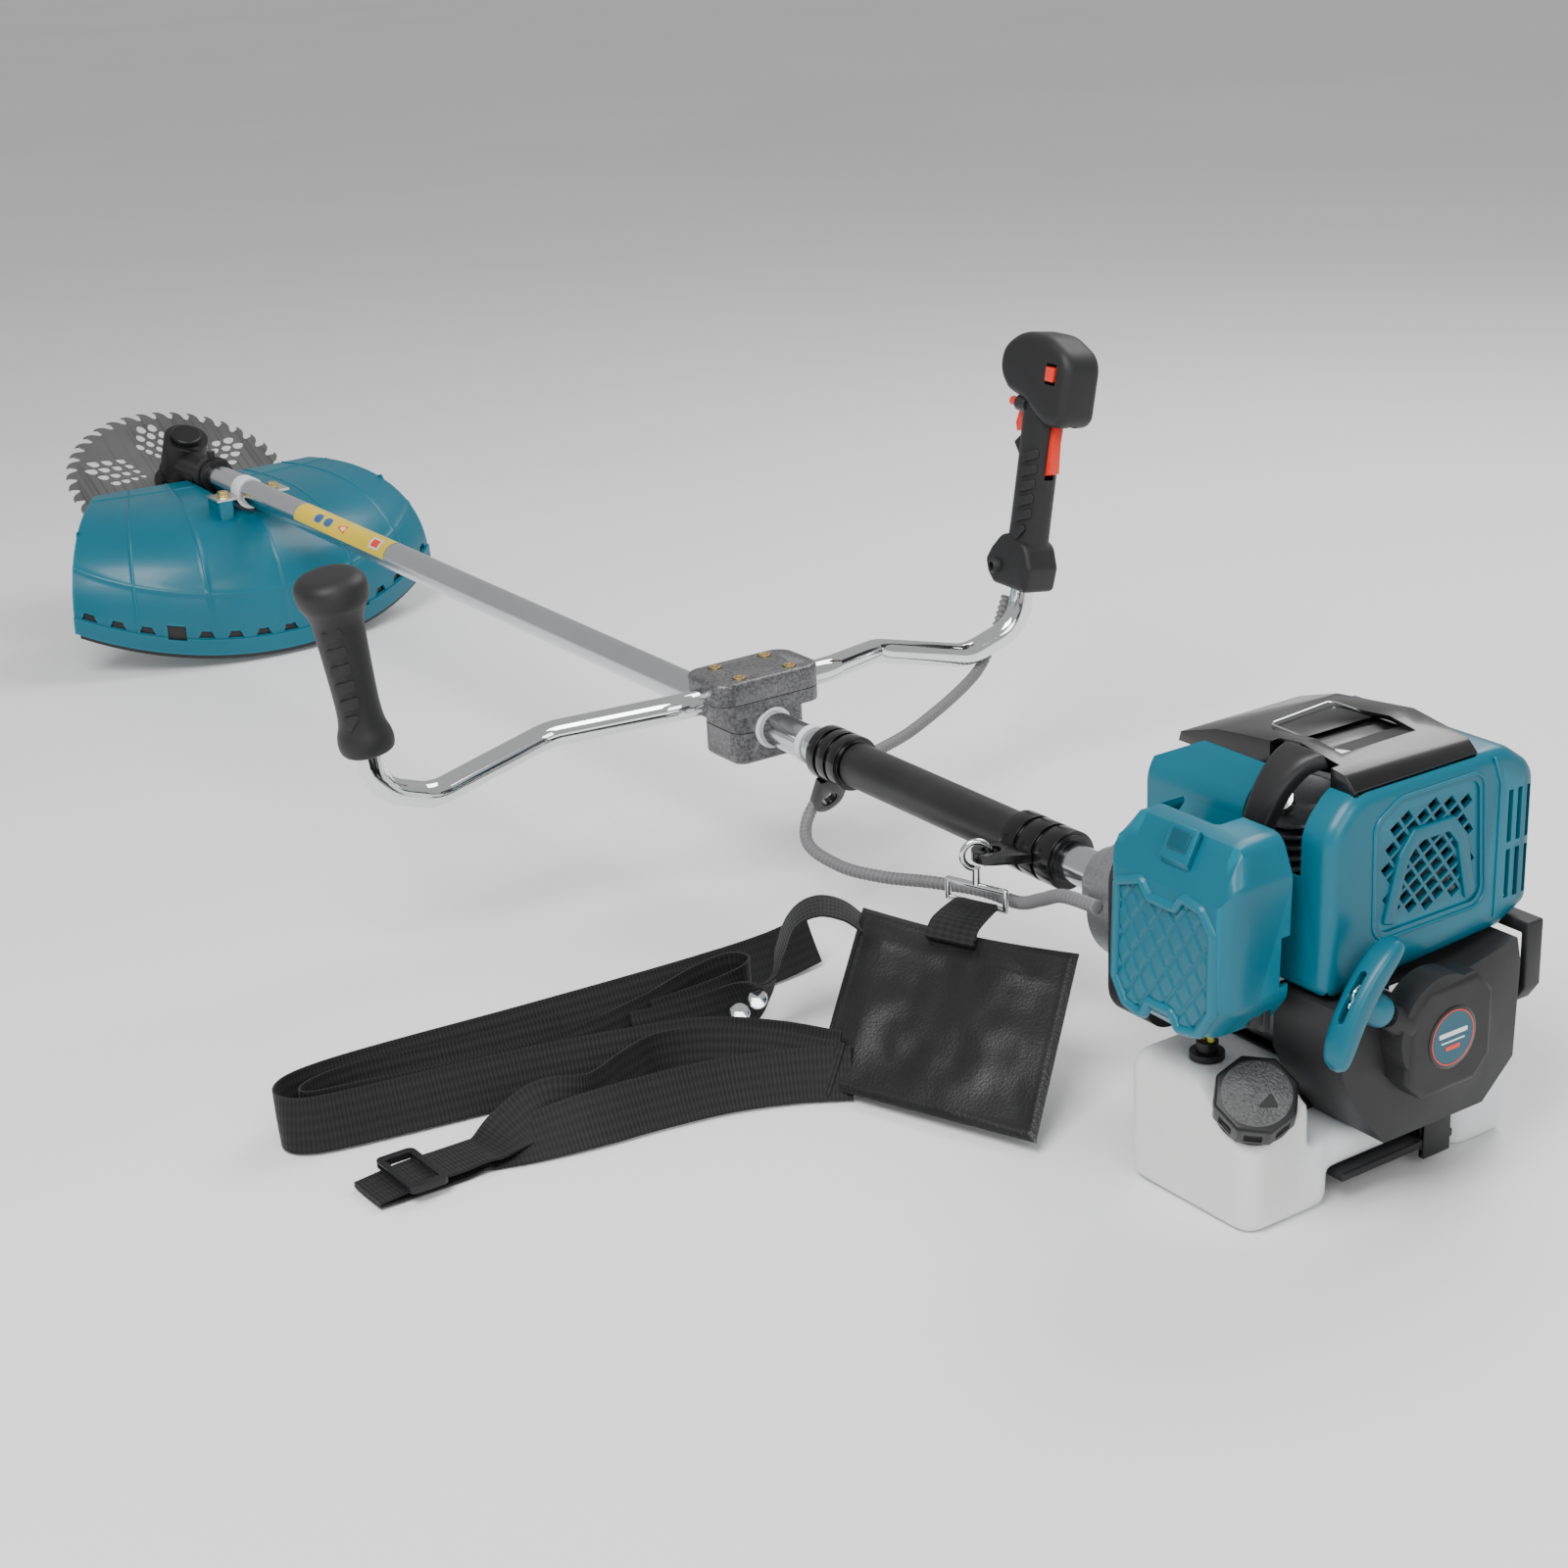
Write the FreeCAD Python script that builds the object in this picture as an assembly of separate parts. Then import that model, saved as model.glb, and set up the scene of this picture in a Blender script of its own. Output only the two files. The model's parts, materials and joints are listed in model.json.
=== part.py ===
import FreeCAD, Part
import math
import os

# A petrol brush cutter with bicycle handlebars, a saw blade and a shoulder harness.
#
# Everything on the machine is drawn in the shaft frame: X runs along the long tube from the
# engine (X = 0 is the clutch housing's mouth) to the cutting head, Y is the operator's left
# and Z is up. seat() then turns and lifts a finished piece into the standing frame, in which
# the fuel tank's feet and the guard's flap rest on the floor Z = 0 and the origin is the
# middle of the tank's foot. The harness lies on the floor, so it is drawn in that frame.
# All sizes are millimetres, all angles degrees.

V = FreeCAD.Vector
X_AXIS = V(1, 0, 0)
Y_AXIS = V(0, 1, 0)
Z_AXIS = V(0, 0, 1)

# Driving dimensions: standing position
FOOT_X = -205.0
FOOT_Z = -125.0
FLAP_X = 1335.0
FLAP_Z = -167.0
SEAT_ANGLE = math.degrees(math.atan2(FOOT_Z - FLAP_Z, FLAP_X - FOOT_X))

# Driving dimensions: shaft and carrying loops
TUBE_R = 14.0
TUBE_WALL = 2.0
TUBE_START = -20.0
TUBE_END = 1530.0
SHAFT_R = 4.0
SLEEVE_R = 17.5
SLEEVE_SPAN = (94.0, 289.0)
FRONT_CLAMP_SPAN = (289.5, 330.0)
REAR_CLAMP_SPAN = (36.0, 93.5)
CLAMP_RING_R = 21.5
EYE_HOLE_R = 7.0
EYE_EDGE_R = 14.0
EYE_THICK = 7.0
EYE_TURN = 62.0
FRONT_EYE = V(331.0, 0.0, -38.0)
REAR_EYE = V(80.0, 37.0, 2.0)
BUSH_X = (250.0, 560.0, 880.0, 1200.0)
GAP = 0.05
RUN_GAP = 0.05

# Driving dimensions: cutting head
BLADE_R = 127.5
BLADE_BORE_R = 12.7
BLADE_THICK = 1.6
BLADE_TEETH = 40
BLADE_TILT = 27.8
BLADE_CENTRE = V(1604.0, 0.0, -27.0)
PINION_TEETH = 15
GEAR_TEETH = 20
CONE_LENGTH = 26.0
CONE_INNER = 17.0
CASE_R = 24.5
CASE_NECK_R = 19.0
SPINDLE_R = 6.0
STUD_R = 5.0

# The bevel gears' cones meet where the spindle's axis crosses the shaft's axis
CONE_X = BLADE_CENTRE.x + BLADE_CENTRE.z * math.tan(math.radians(BLADE_TILT))
CONE_LIFT = -BLADE_CENTRE.z / math.cos(math.radians(BLADE_TILT))
AXIS_ANGLE = math.radians(90 - BLADE_TILT)
PINION_CONE = math.atan2(math.sin(AXIS_ANGLE), GEAR_TEETH / PINION_TEETH + math.cos(AXIS_ANGLE))
GEAR_CONE = AXIS_ANGLE - PINION_CONE
PINION_BACK = CONE_X - CONE_LENGTH * math.cos(PINION_CONE)
GEAR_BACK = CONE_LENGTH * math.cos(GEAR_CONE)
MODULE = 2 * CONE_LENGTH * math.sin(PINION_CONE) / PINION_TEETH
CASE_TOP = CONE_LIFT + GEAR_BACK + 12.5

# Driving dimensions: guard
RIM_R = 298.0
RIM_HALF_ANGLE = 45.0
RIM_HEIGHT = 8.0
GUARD_WALL = 3.0
FLAP_HEIGHT = 14.0

# Driving dimensions: handlebar
BAR_R = 10.5
BAR_WALL = 1.6
CLAMP_X = 430.0
BAR_Z = 25.5
BUSH_R = 17.0
CLAMP_SCREW_R = 3.0
BAR_HALF = [(430, 0, 25.5), (430, 72, 25.5), (482, 160, 10), (488, 262, -18), (478, 312, 2), (476, 326, 96)]
BAR_BEND_R = 38.0

# Driving dimensions: engine
CYLINDER_X = -170.0
BORE_R = 22.0
STROKE = 34.0
DRUM_R = 40.0
REAR_FACE_X = -270.0
POD_X = -303.0
POD_HALF = 36.0
POD_CAVITY_R = 31
POD_SHIFT = -8.0
STARTER_OUTLINE = [
    (64, 21), (64, -20), (52, -44), (26, -76), (-60, -76), (-86, -52), (-88, 12), (-84, 29), (-40, 21),
]
PULLEY_R = 26.0
PULL_DIRECTION = V(0.0, 0.826, 0.564)
HANDLE_CENTRE = V(-294.0, 62.0, 33.0)
FILTER_FACE_Y = 130.0
CAP_AXIS = V(-0.5, 0.4, 0.77).normalize()
CAP_BASE = V(-238.0, 90.4, -50.5)
CAP_R = 25.0
PLUG_FOOT = V(-176.0, 8.0, 100.0)
PLUG_AXIS = V(-0.42, 0.62, 0.66).normalize()
INTAKE_Z = 65.0

# Driving dimensions: harness; the webbing's lines are in the standing frame
HOOK_R = 10.0
HOOK_WIRE_R = 2.3
PAD_TOP_LEFT = V(150, 98, -45)
PAD_TOP_RIGHT = V(-20, 42, -38)
PAD_BOTTOM_LEFT = V(79, 195, -126)
PAD_THICK = 5.0
WEBBING_WIDTH = 38.0
WEBBING_THICK = 2.6
UPPER_RUN = [(490, 62), (492, 167), (500, 290), (510, 420), (500, 500)]
LOWER_RUN = [(300, 232), (330, 300), (380, 400), (430, 500)]
BUCKLE_RUN = [(345, 240), (330, 340), (345, 400), (345, 530)]
SLIDER_SPOT = (345.0, 470.0)


# ---------------------------------------------------------------- basic shapes

def box(x_span, y_span, z_span):
    size = [span[1] - span[0] for span in (x_span, y_span, z_span)]
    return Part.makeBox(size[0], size[1], size[2], V(x_span[0], y_span[0], z_span[0]))


def rod(start, direction, length, radius):
    return Part.makeCylinder(radius, length, start, direction)


def ring(start, direction, length, outer, inner):
    return rod(start, direction, length, outer).cut(rod(start, direction, length, inner))


def shaft_rod(x_start, x_end, radius):
    return rod(V(x_start, 0, 0), X_AXIS, x_end - x_start, radius)


def shaft_ring(x_start, x_end, outer, inner):
    return ring(V(x_start, 0, 0), X_AXIS, x_end - x_start, outer, inner)


def outline(points):
    return Part.Face(Part.makePolygon([*points, points[0]]))


def slab_x(points, x_start, x_end):
    return outline([V(x_start, y, z) for y, z in points]).extrude(V(x_end - x_start, 0, 0))


def slab_y(points, y_start, y_end):
    return outline([V(x, y_start, z) for x, z in points]).extrude(V(0, y_end - y_start, 0))


def slab_z(points, z_start, z_end):
    return outline([V(x, y, z_start) for x, y in points]).extrude(V(0, 0, z_end - z_start))


def joined(*shapes):
    whole = shapes[0]
    for shape in shapes[1:]:
        whole = whole.fuse(shape)
    return whole.removeSplitter()


def group(*shapes):
    return Part.makeCompound(list(shapes))


def is_along(edge, direction):
    if edge.Curve.TypeId != "Part::GeomLine":
        return False
    return abs(abs(edge.tangentAt(edge.FirstParameter).dot(direction)) - 1.0) < 1e-4


def round_along(shape, direction, radius):
    edges = [edge for edge in shape.Edges if is_along(edge, direction)]
    return shape.makeFillet(radius, edges)


def round_all(shape, radius):
    return shape.makeFillet(radius, shape.Edges)


def turned(shape, centre, axis, angle):
    copy = shape.copy()
    copy.rotate(centre, axis, angle)
    return copy


def bend_corner(before, corner, after, radius):
    to_before = (before - corner).normalize()
    to_after = (after - corner).normalize()
    half = to_before.getAngle(to_after) / 2
    reach = radius / math.tan(half)
    middle = (to_before + to_after).normalize()
    centre = corner + middle * (radius / math.sin(half))
    return corner + to_before * reach, centre - middle * radius, corner + to_after * reach


def bent_wire(points, radius):
    edges = []
    here = points[0]
    for before, corner, after in zip(points, points[1:], points[2:]):
        enter, middle, leave = bend_corner(before, corner, after, radius)
        edges.append(Part.makeLine(here, enter))
        edges.append(Part.Arc(enter, middle, leave).toShape())
        here = leave
    edges.append(Part.makeLine(here, points[-1]))
    return Part.Wire(edges)


def round_bar(path, start, direction, radius):
    section = Part.Wire([Part.makeCircle(radius, start, direction)])
    return path.makePipeShell([section], True, True)


def smooth_bar(points, radius):
    curve = Part.BSplineCurve()
    curve.interpolate(points)
    path = Part.Wire([curve.toShape()])
    direction = curve.tangent(curve.FirstParameter)[0]
    return round_bar(path, points[0], direction, radius)


# ---------------------------------------------------------------- frames and export

def seat_matrix():
    matrix = FreeCAD.Matrix()
    matrix.move(V(-FOOT_X, 0, -FOOT_Z))
    matrix.rotateY(math.radians(-SEAT_ANGLE))
    return matrix


def seat(shape):
    return shape.transformed(seat_matrix(), copy=True)


def export(name, shape):
    shape.exportStep(f"parts/{name}.step")


def place(name, shape):
    export(name, seat(shape))


def tilt_blade(shape):
    """Moves a shape drawn around the Z axis, with the blade at Z = 0, onto the spindle."""
    moved = shape.copy()
    moved.rotate(V(0, 0, 0), Y_AXIS, -BLADE_TILT)
    moved.translate(BLADE_CENTRE)
    return moved


def blade_point(radius, angle, height):
    """A point of the blade's own frame, with angle 0 on the operator's side."""
    tilt = math.radians(BLADE_TILT)
    back = radius * math.cos(math.radians(angle))
    side = radius * math.sin(math.radians(angle))
    x = BLADE_CENTRE.x - back * math.cos(tilt) - height * math.sin(tilt)
    z = BLADE_CENTRE.z - back * math.sin(tilt) + height * math.cos(tilt)
    return V(x, side, z)


# ---------------------------------------------------------------- shaft

def shaft_tube():
    return shaft_ring(TUBE_START, TUBE_END, TUBE_R, TUBE_R - TUBE_WALL)


def drive_shaft():
    return shaft_rod(-26.0, PINION_BACK + 9.0, SHAFT_R)


def shaft_bushes():
    inner = TUBE_R - TUBE_WALL
    bushes = [shaft_ring(x, x + 26, inner - GAP, SHAFT_R + RUN_GAP) for x in BUSH_X]
    return group(*bushes)


def shaft_sleeve():
    sleeve = shaft_ring(*SLEEVE_SPAN, SLEEVE_R, TUBE_R + GAP)
    rims = [edge for edge in sleeve.Edges if abs(edge.Length - 2 * math.pi * SLEEVE_R) < 0.1]
    return sleeve.makeFillet(1.2, rims)


def tube_collars():
    """Two white nylon collars and the rubber bush inside the handlebar clamp."""
    bush = shaft_ring(CLAMP_X - 29, CLAMP_X + 29, BUSH_R, TUBE_R + GAP)
    bush = bush.cut(rod(V(CLAMP_X, -90, BAR_Z), Y_AXIS, 180, BAR_R + GAP))
    behind = shaft_ring(346, 352, TUBE_R + 1.8, TUBE_R + GAP)
    front = shaft_ring(1404, 1424, TUBE_R + 1.5, TUBE_R + GAP)
    return group(bush, behind, front)


def eye_plate(length):
    """A flat eye drawn in the XY plane, its hole on the Z axis and its root at X = -length."""
    half = EYE_THICK / 2
    plate = rod(V(0, 0, -half), Z_AXIS, EYE_THICK, EYE_EDGE_R)
    edge = EYE_EDGE_R
    root = slab_z([(0, -edge), (0, edge), (-length, edge + 1), (-length, -edge - 1)], -half, half)
    hole = rod(V(0, 0, -half - 0.5), Z_AXIS, EYE_THICK + 1, EYE_HOLE_R)
    return joined(plate, root).cut(hole)


def clamp_ring(x_start, x_end):
    """A split ring round the tube with three raised bands."""
    body = shaft_ring(x_start, x_end, CLAMP_RING_R - 2, TUBE_R + GAP)
    step = (x_end - x_start) / 3
    for i in range(3):
        start = x_start + step * i + 2
        body = body.fuse(shaft_ring(start, start + step - 4, CLAMP_RING_R, CLAMP_RING_R - 3.5))
    return body.removeSplitter()


def harness_loops():
    return group(front_loop_clamp(), rear_loop_clamp())


def front_loop_clamp():
    eye = eye_plate(22.0)
    eye.rotate(V(0, 0, 0), Y_AXIS, EYE_TURN)
    eye.translate(FRONT_EYE)
    eye = eye.cut(shaft_rod(250, 370, CLAMP_RING_R - 2.5))
    return joined(clamp_ring(*FRONT_CLAMP_SPAN), eye)


def rear_loop_clamp():
    eye = eye_plate(26.0)
    eye.rotate(V(0, 0, 0), Z_AXIS, EYE_TURN)
    eye.translate(REAR_EYE)
    eye = eye.cut(shaft_rod(20, 120, CLAMP_RING_R - 2.5))
    return joined(clamp_ring(*REAR_CLAMP_SPAN), eye)


# ---------------------------------------------------------------- cutting head

def bevel_teeth(teeth, cone, phase):
    """Straight bevel teeth with their cone's tip at the origin, opening along +Z."""
    back = CONE_LENGTH * math.cos(cone)
    pitch_r = CONE_LENGTH * math.sin(cone)
    root_r = pitch_r - 1.3 * MODULE * math.cos(cone)
    tip_r = pitch_r + 0.5 * MODULE * math.cos(cone)
    front = CONE_INNER / CONE_LENGTH
    blank = Part.makeCone(root_r * front, root_r, back * (1 - front), V(0, 0, back * front))
    for i in range(teeth):
        angle = math.radians(phase + i * 360 / teeth)
        half = [(root_r - 0.4, 0.25), (pitch_r, 0.16), (tip_r, 0.07)]
        wires = []
        for scale in (front, 1.0):
            corners = []
            for radius, share in half + [(r, -s) for r, s in reversed(half)]:
                turn = angle + share * 2 * math.pi / teeth
                x = radius * scale * math.cos(turn)
                y = radius * scale * math.sin(turn)
                corners.append(V(x, y, back * scale))
            wires.append(Part.makePolygon([*corners, corners[0]]))
        blank = blank.fuse(Part.makeLoft(wires, True, True))
    return blank


def bevel_pinion():
    """Meshes with the gear on its upper side, and carries the drive shaft's end."""
    gear = bevel_teeth(PINION_TEETH, PINION_CONE, 0)
    gear = gear.fuse(rod(V(0, 0, CONE_LENGTH * math.cos(PINION_CONE)), Z_AXIS, 22, 7.5))
    bore = rod(V(0, 0, CONE_LENGTH * math.cos(PINION_CONE) - 10), Z_AXIS, 40, SHAFT_R + GAP)
    gear = gear.cut(bore)
    gear.rotate(V(0, 0, 0), Y_AXIS, -90)
    gear.translate(V(CONE_X, 0, 0))
    return gear


def bevel_gear():
    gear = bevel_teeth(GEAR_TEETH, GEAR_CONE, 180 + 180 / GEAR_TEETH)
    gear = gear.cut(rod(V(0, 0, 0), Z_AXIS, 60, SPINDLE_R + GAP))
    gear.translate(V(0, 0, CONE_LIFT))
    return tilt_blade(gear)


def spindle():
    shaft = rod(V(0, 0, 3.0), Z_AXIS, CASE_TOP - 3.5, SPINDLE_R)
    stud = rod(V(0, 0, -22), Z_AXIS, 25, STUD_R)
    return tilt_blade(shaft.fuse(stud).removeSplitter())


def bearings():
    """The ball bearings of the head, the clutch drum and the crankshaft."""
    lower = ring(V(0, 0, 15), Z_AXIS, 10, 16, SPINDLE_R + RUN_GAP)
    upper = ring(V(0, 0, CASE_TOP - 11), Z_AXIS, 9, 13, SPINDLE_R + RUN_GAP)
    front = shaft_ring(PINION_BACK - 20, PINION_BACK - 3, 15, 7.5 + RUN_GAP)
    clutch = shaft_ring(-35, -24, 17.45, 8 + RUN_GAP)
    mains = [shaft_ring(x, x + 11, 15.95, 7.5 + RUN_GAP) for x in (-132, -218)]
    return group(tilt_blade(lower), tilt_blade(upper), front, clutch, *mains)


def gear_case():
    """The casting around both gears, clamped on the tube's end, with its cap."""
    barrel = tilt_blade(rod(V(0, 0, 12.5), Z_AXIS, CASE_TOP - 12.5, CASE_R))
    foot = tilt_blade(Part.makeCone(22, 26, 9, V(0, 0, 9)))
    neck = shaft_rod(1492, CONE_X - 6, CASE_NECK_R)
    collar = shaft_rod(1500, 1512, CASE_NECK_R + 2)
    grease_screw = rod(V(1506, 0, 15), Z_AXIS, 12, 4.5)
    outer = joined(barrel, foot, neck, collar, grease_screw)
    gear_room = tilt_blade(rod(V(0, 0, 25.5), Z_AXIS, CASE_TOP - 26, CASE_R - 4))
    seal_hole = tilt_blade(rod(V(0, 0, 5), Z_AXIS, 12, 10))
    lower_seat = tilt_blade(rod(V(0, 0, 14.9), Z_AXIS, 12, 16 + GAP))
    upper_seat = tilt_blade(rod(V(0, 0, CASE_TOP - 12), Z_AXIS, 13, 13 + GAP))
    tube_seat = shaft_rod(1490, TUBE_END + 0.1, TUBE_R + GAP)
    pinion_seat = shaft_rod(TUBE_END, CONE_X - 12, 15 + GAP)
    cavity = gear_room.multiFuse([seal_hole, lower_seat, upper_seat, tube_seat, pinion_seat])
    return group(outer.cut(cavity), gear_case_cap())


def gear_case_cap():
    base = CASE_TOP + 0.1
    cap = rod(V(0, 0, base), Z_AXIS, 7, 17)
    cap = cap.makeFillet(2.5, [edge for edge in cap.Edges if edge.BoundBox.ZMin > base + 6])
    return tilt_blade(cap)


def blade_adapter():
    """The upper flange: the blade sits on its stepped boss."""
    flange = rod(V(0, 0, 0.9), Z_AXIS, 2.1, 30)
    hub = rod(V(0, 0, 3.0), Z_AXIS, 5, 15)
    boss = rod(V(0, 0, -0.7), Z_AXIS, 2, BLADE_BORE_R - GAP)
    whole = joined(flange, hub, boss)
    return tilt_blade(whole.cut(rod(V(0, 0, -2), Z_AXIS, 20, SPINDLE_R + GAP)))


def blade_fixings():
    return group(blade_adapter(), blade_nut())


def blade_nut():
    """The lower washer, the cup that slides on the ground and the nut inside it."""
    washer = ring(V(0, 0, -3.3), Z_AXIS, 2.4, 27, STUD_R + GAP)
    cup = Part.makeCone(21, 31, 14, V(0, 0, -17.4))
    cup = cup.cut(Part.makeCone(17, 27.5, 12, V(0, 0, -15.3)))
    cup = cup.cut(rod(V(0, 0, -20), Z_AXIS, 10, 13))
    nut = hex_prism(8.7, 9, V(0, 0, -12.3))
    nut = nut.cut(rod(V(0, 0, -20), Z_AXIS, 20, STUD_R + GAP))
    cup = cup.fuse(ring(V(0, 0, -5.2), Z_AXIS, 1.8, 24, 9))
    return group(tilt_blade(washer), tilt_blade(cup.removeSplitter()), tilt_blade(nut))


def hex_prism(radius, height, base):
    corners = []
    for i in range(6):
        angle = math.radians(60 * i)
        corners.append(base + V(radius * math.cos(angle), radius * math.sin(angle), 0))
    return outline(corners).extrude(V(0, 0, height))


def tooth_corners(index):
    """One hooked tooth: a steep face, a tip and a long sloping back."""
    pitch = 2 * math.pi / BLADE_TEETH
    start = index * pitch
    shape = [(0.0, -11.0), (0.04, -3.0), (-0.06, 0.0), (0.28, -0.6), (0.62, -7.0), (0.74, -11.0)]
    return [
        V((BLADE_R + depth) * math.cos(start + share * pitch),
          (BLADE_R + depth) * math.sin(start + share * pitch), 0)
        for share, depth in shape
    ]


def saw_blade():
    corners = []
    for i in range(BLADE_TEETH):
        corners.extend(tooth_corners(i))
    half = BLADE_THICK / 2
    disc = outline(corners)
    cutters = [Part.Face(Part.Wire([Part.makeCircle(BLADE_BORE_R, V(0, 0, 0))]))]
    for group_angle in range(0, 360, 60):
        for row, radius in enumerate((46, 60, 74, 88)):
            for k in range(-1, 2):
                if row == 0 and k != 0:
                    continue
                angle = math.radians(group_angle + k * 15 + row * 4)
                spot = V(radius * math.cos(angle), radius * math.sin(angle), 0)
                cutters.append(Part.Face(Part.Wire([Part.makeCircle(4.6 - 0.2 * row, spot)])))
    disc = disc.cut(Part.makeCompound(cutters))
    disc.translate(V(0, 0, -half))
    return tilt_blade(disc.extrude(V(0, 0, BLADE_THICK)))


# ---------------------------------------------------------------- guard

def guard_section(share):
    """The guard's top line from the front edge to the rim, for share -1 (right) to 1 (left)."""
    front = V(1532, 128 * share, -6 - 2 * (1 - abs(share)))
    rim = blade_point(RIM_R, RIM_HALF_ANGLE * share, RIM_HEIGHT)
    flatness = 3.4 - 1.1 * abs(share)
    points = []
    for i in range(9):
        s = i / 8
        flat_share = math.sin(s * math.pi / 2)
        drop = 1 - (1 - flat_share ** flatness) ** (1 / flatness)
        along = front + (rim - front) * flat_share
        points.append(V(along.x, along.y, front.z + (rim.z - front.z) * drop))
    return points


def thickened(points, wall):
    """The same line moved inward by the wall, in its own upright plane."""
    inner = []
    run = V(points[-1].x - points[0].x, points[-1].y - points[0].y, 0).normalize()
    for i, point in enumerate(points):
        before = points[max(i - 1, 0)]
        after = points[min(i + 1, len(points) - 1)]
        along = after - before
        side = V(along.dot(run), along.z, 0).normalize()
        inner.append(point + run * (side.y * wall) + V(0, 0, -side.x * wall))
    return inner


def guard_wire(share):
    outer = guard_section(share)
    inner = thickened(outer, GUARD_WALL)
    top = Part.BSplineCurve()
    top.interpolate(outer)
    bottom = Part.BSplineCurve()
    bottom.interpolate(inner[::-1])
    edges = [
        top.toShape(),
        Part.makeLine(outer[-1], inner[-1]),
        bottom.toShape(),
        Part.makeLine(inner[0], outer[0]),
    ]
    return Part.Wire(edges)


def guard():
    shares = [-1 + i / 4 for i in range(9)]
    shell = Part.makeLoft([guard_wire(share) for share in shares], True, False)
    for side in (-1, 1):
        y_span = sorted((side * 22.5, side * 40.0))
        block = box((1398, 1432), y_span, (-26, -4.1))
        shell = shell.fuse(block.cut(bolt_hole(side)))
    shell = shell.cut(shaft_rod(1380, 1545, 22))
    shell = shell.cut(bolt_hole(1).fuse(bolt_hole(-1)))
    return shell


def bolt_hole(side):
    return rod(V(1414, side * 29.0, -40), Z_AXIS, 60, 3.1)


def guard_bracket():
    """A zinc strap that passes under the tube, with an ear on each side."""
    saddle = shaft_ring(1404, 1424, 18.2, TUBE_R + 1.5 + GAP)
    saddle = saddle.common(box((1400, 1430), (-30, 30), (-30, -1.5)))
    whole = saddle
    for side in (-1, 1):
        y_span = sorted((side * 15.7, side * 42.0))
        ear = box((1399, 1430), y_span, (-4.0, -1.5))
        whole = whole.fuse(ear.cut(bolt_hole(side)))
    return whole.cut(shaft_rod(1390, 1440, TUBE_R + 1.5 + GAP)).removeSplitter()


def bolts_and_screws():
    """The guard's two bolts with their nuts, and the clamp's four socket screws."""
    parts = clamp_screws()
    for side in (-1, 1):
        head = hex_prism(5.6, 4.5, V(1414, side * 29.0, -0.4))
        washer = rod(V(1414, side * 29.0, -1.5), Z_AXIS, 1.1, 6.5)
        shank = rod(V(1414, side * 29.0, -32), Z_AXIS, 31, 3.0)
        nut = hex_prism(5.6, 5, V(1414, side * 29.0, -32.5))
        parts.append(joined(head, washer, shank, nut))
    return group(*parts)


def guard_flap():
    """A rubber strip hanging from the rim; its lowest edge is cut flat where it stands."""
    outer = RIM_R - GUARD_WALL - 9
    strip = ring(V(0, 0, -FLAP_HEIGHT + RIM_HEIGHT + 3), Z_AXIS, FLAP_HEIGHT, outer, outer - 3.5)
    angles = [math.radians(180 + sign * (RIM_HALF_ANGLE - 2)) for sign in (-1, 1)]
    reach = RIM_R * 1.4
    wedge = [V(0, 0, -60)] + [V(reach * math.cos(a), reach * math.sin(a), -60) for a in angles]
    strip = strip.common(outline(wedge).extrude(V(0, 0, 120)))
    return tilt_blade(strip)


# ---------------------------------------------------------------- handlebar

def bar_path():
    left = [V(*point) for point in BAR_HALF]
    right = [V(point.x, -point.y, point.z) for point in left[:0:-1]]
    return right + left[1:]


def handlebar_tube():
    points = bar_path()
    wire = bent_wire(points, BAR_BEND_R)
    direction = points[1] - points[0]
    outer = round_bar(wire, points[0], direction, BAR_R)
    inner = round_bar(wire, points[0], direction, BAR_R - BAR_WALL)
    return outer.cut(inner)


def clamp_block(z_span, x_half, y_half, corner):
    x_span = (CLAMP_X - x_half, CLAMP_X + x_half)
    block = box(x_span, (-y_half, y_half), z_span)
    return round_along(block, Z_AXIS, corner)


def clamp_screw_spots():
    return [V(CLAMP_X + dx, dy, 0) for dx in (-17.5, 17.5) for dy in (-24, 24)]


def clamp_bores():
    screws = [rod(spot + V(0, 0, -60), Z_AXIS, 140, CLAMP_SCREW_R + 0.1) for spot in clamp_screw_spots()]
    tube = shaft_rod(CLAMP_X - 80, CLAMP_X + 80, BUSH_R + GAP)
    bar = rod(V(CLAMP_X, -90, BAR_Z), Y_AXIS, 180, BAR_R + GAP)
    return group(*screws, tube, bar)


def handlebar_clamp():
    """Three castings: under the tube, between tube and handlebar, and over the handlebar."""
    return group(clamp_lower(), clamp_body(), clamp_cap())


def clamp_lower():
    block = clamp_block((-27, -0.4), 27, 34, 12)
    base = [edge for edge in block.Edges if edge.BoundBox.ZMax < -26.9]
    return block.makeFillet(5, base).cut(clamp_bores())


def clamp_body():
    waist = clamp_block((0.4, 20), 27, 34, 12)
    shoulder = clamp_block((14, BAR_Z - 0.3), 29, 50, 16)
    return joined(waist, shoulder).cut(clamp_bores())


def clamp_cap():
    cap = clamp_block((BAR_Z + 0.3, 44), 29, 50, 16)
    top = [edge for edge in cap.Edges if edge.BoundBox.ZMin > 43.9]
    cap = cap.makeFillet(4, top)
    heads = [rod(spot + V(0, 0, 40), Z_AXIS, 10, 5.6) for spot in clamp_screw_spots()]
    return cap.cut(clamp_bores()).cut(group(*heads))


def clamp_screws():
    parts = []
    for spot in clamp_screw_spots():
        foot = spot + V(0, 0, -26)
        head = rod(foot + V(0, 0, 66), Z_AXIS, 5, 5.0)
        shank = rod(foot, Z_AXIS, 67, CLAMP_SCREW_R)
        socket = hex_prism(2.9, 5, foot + V(0, 0, 68))
        parts.append(joined(head, shank).cut(socket))
    return parts


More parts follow.
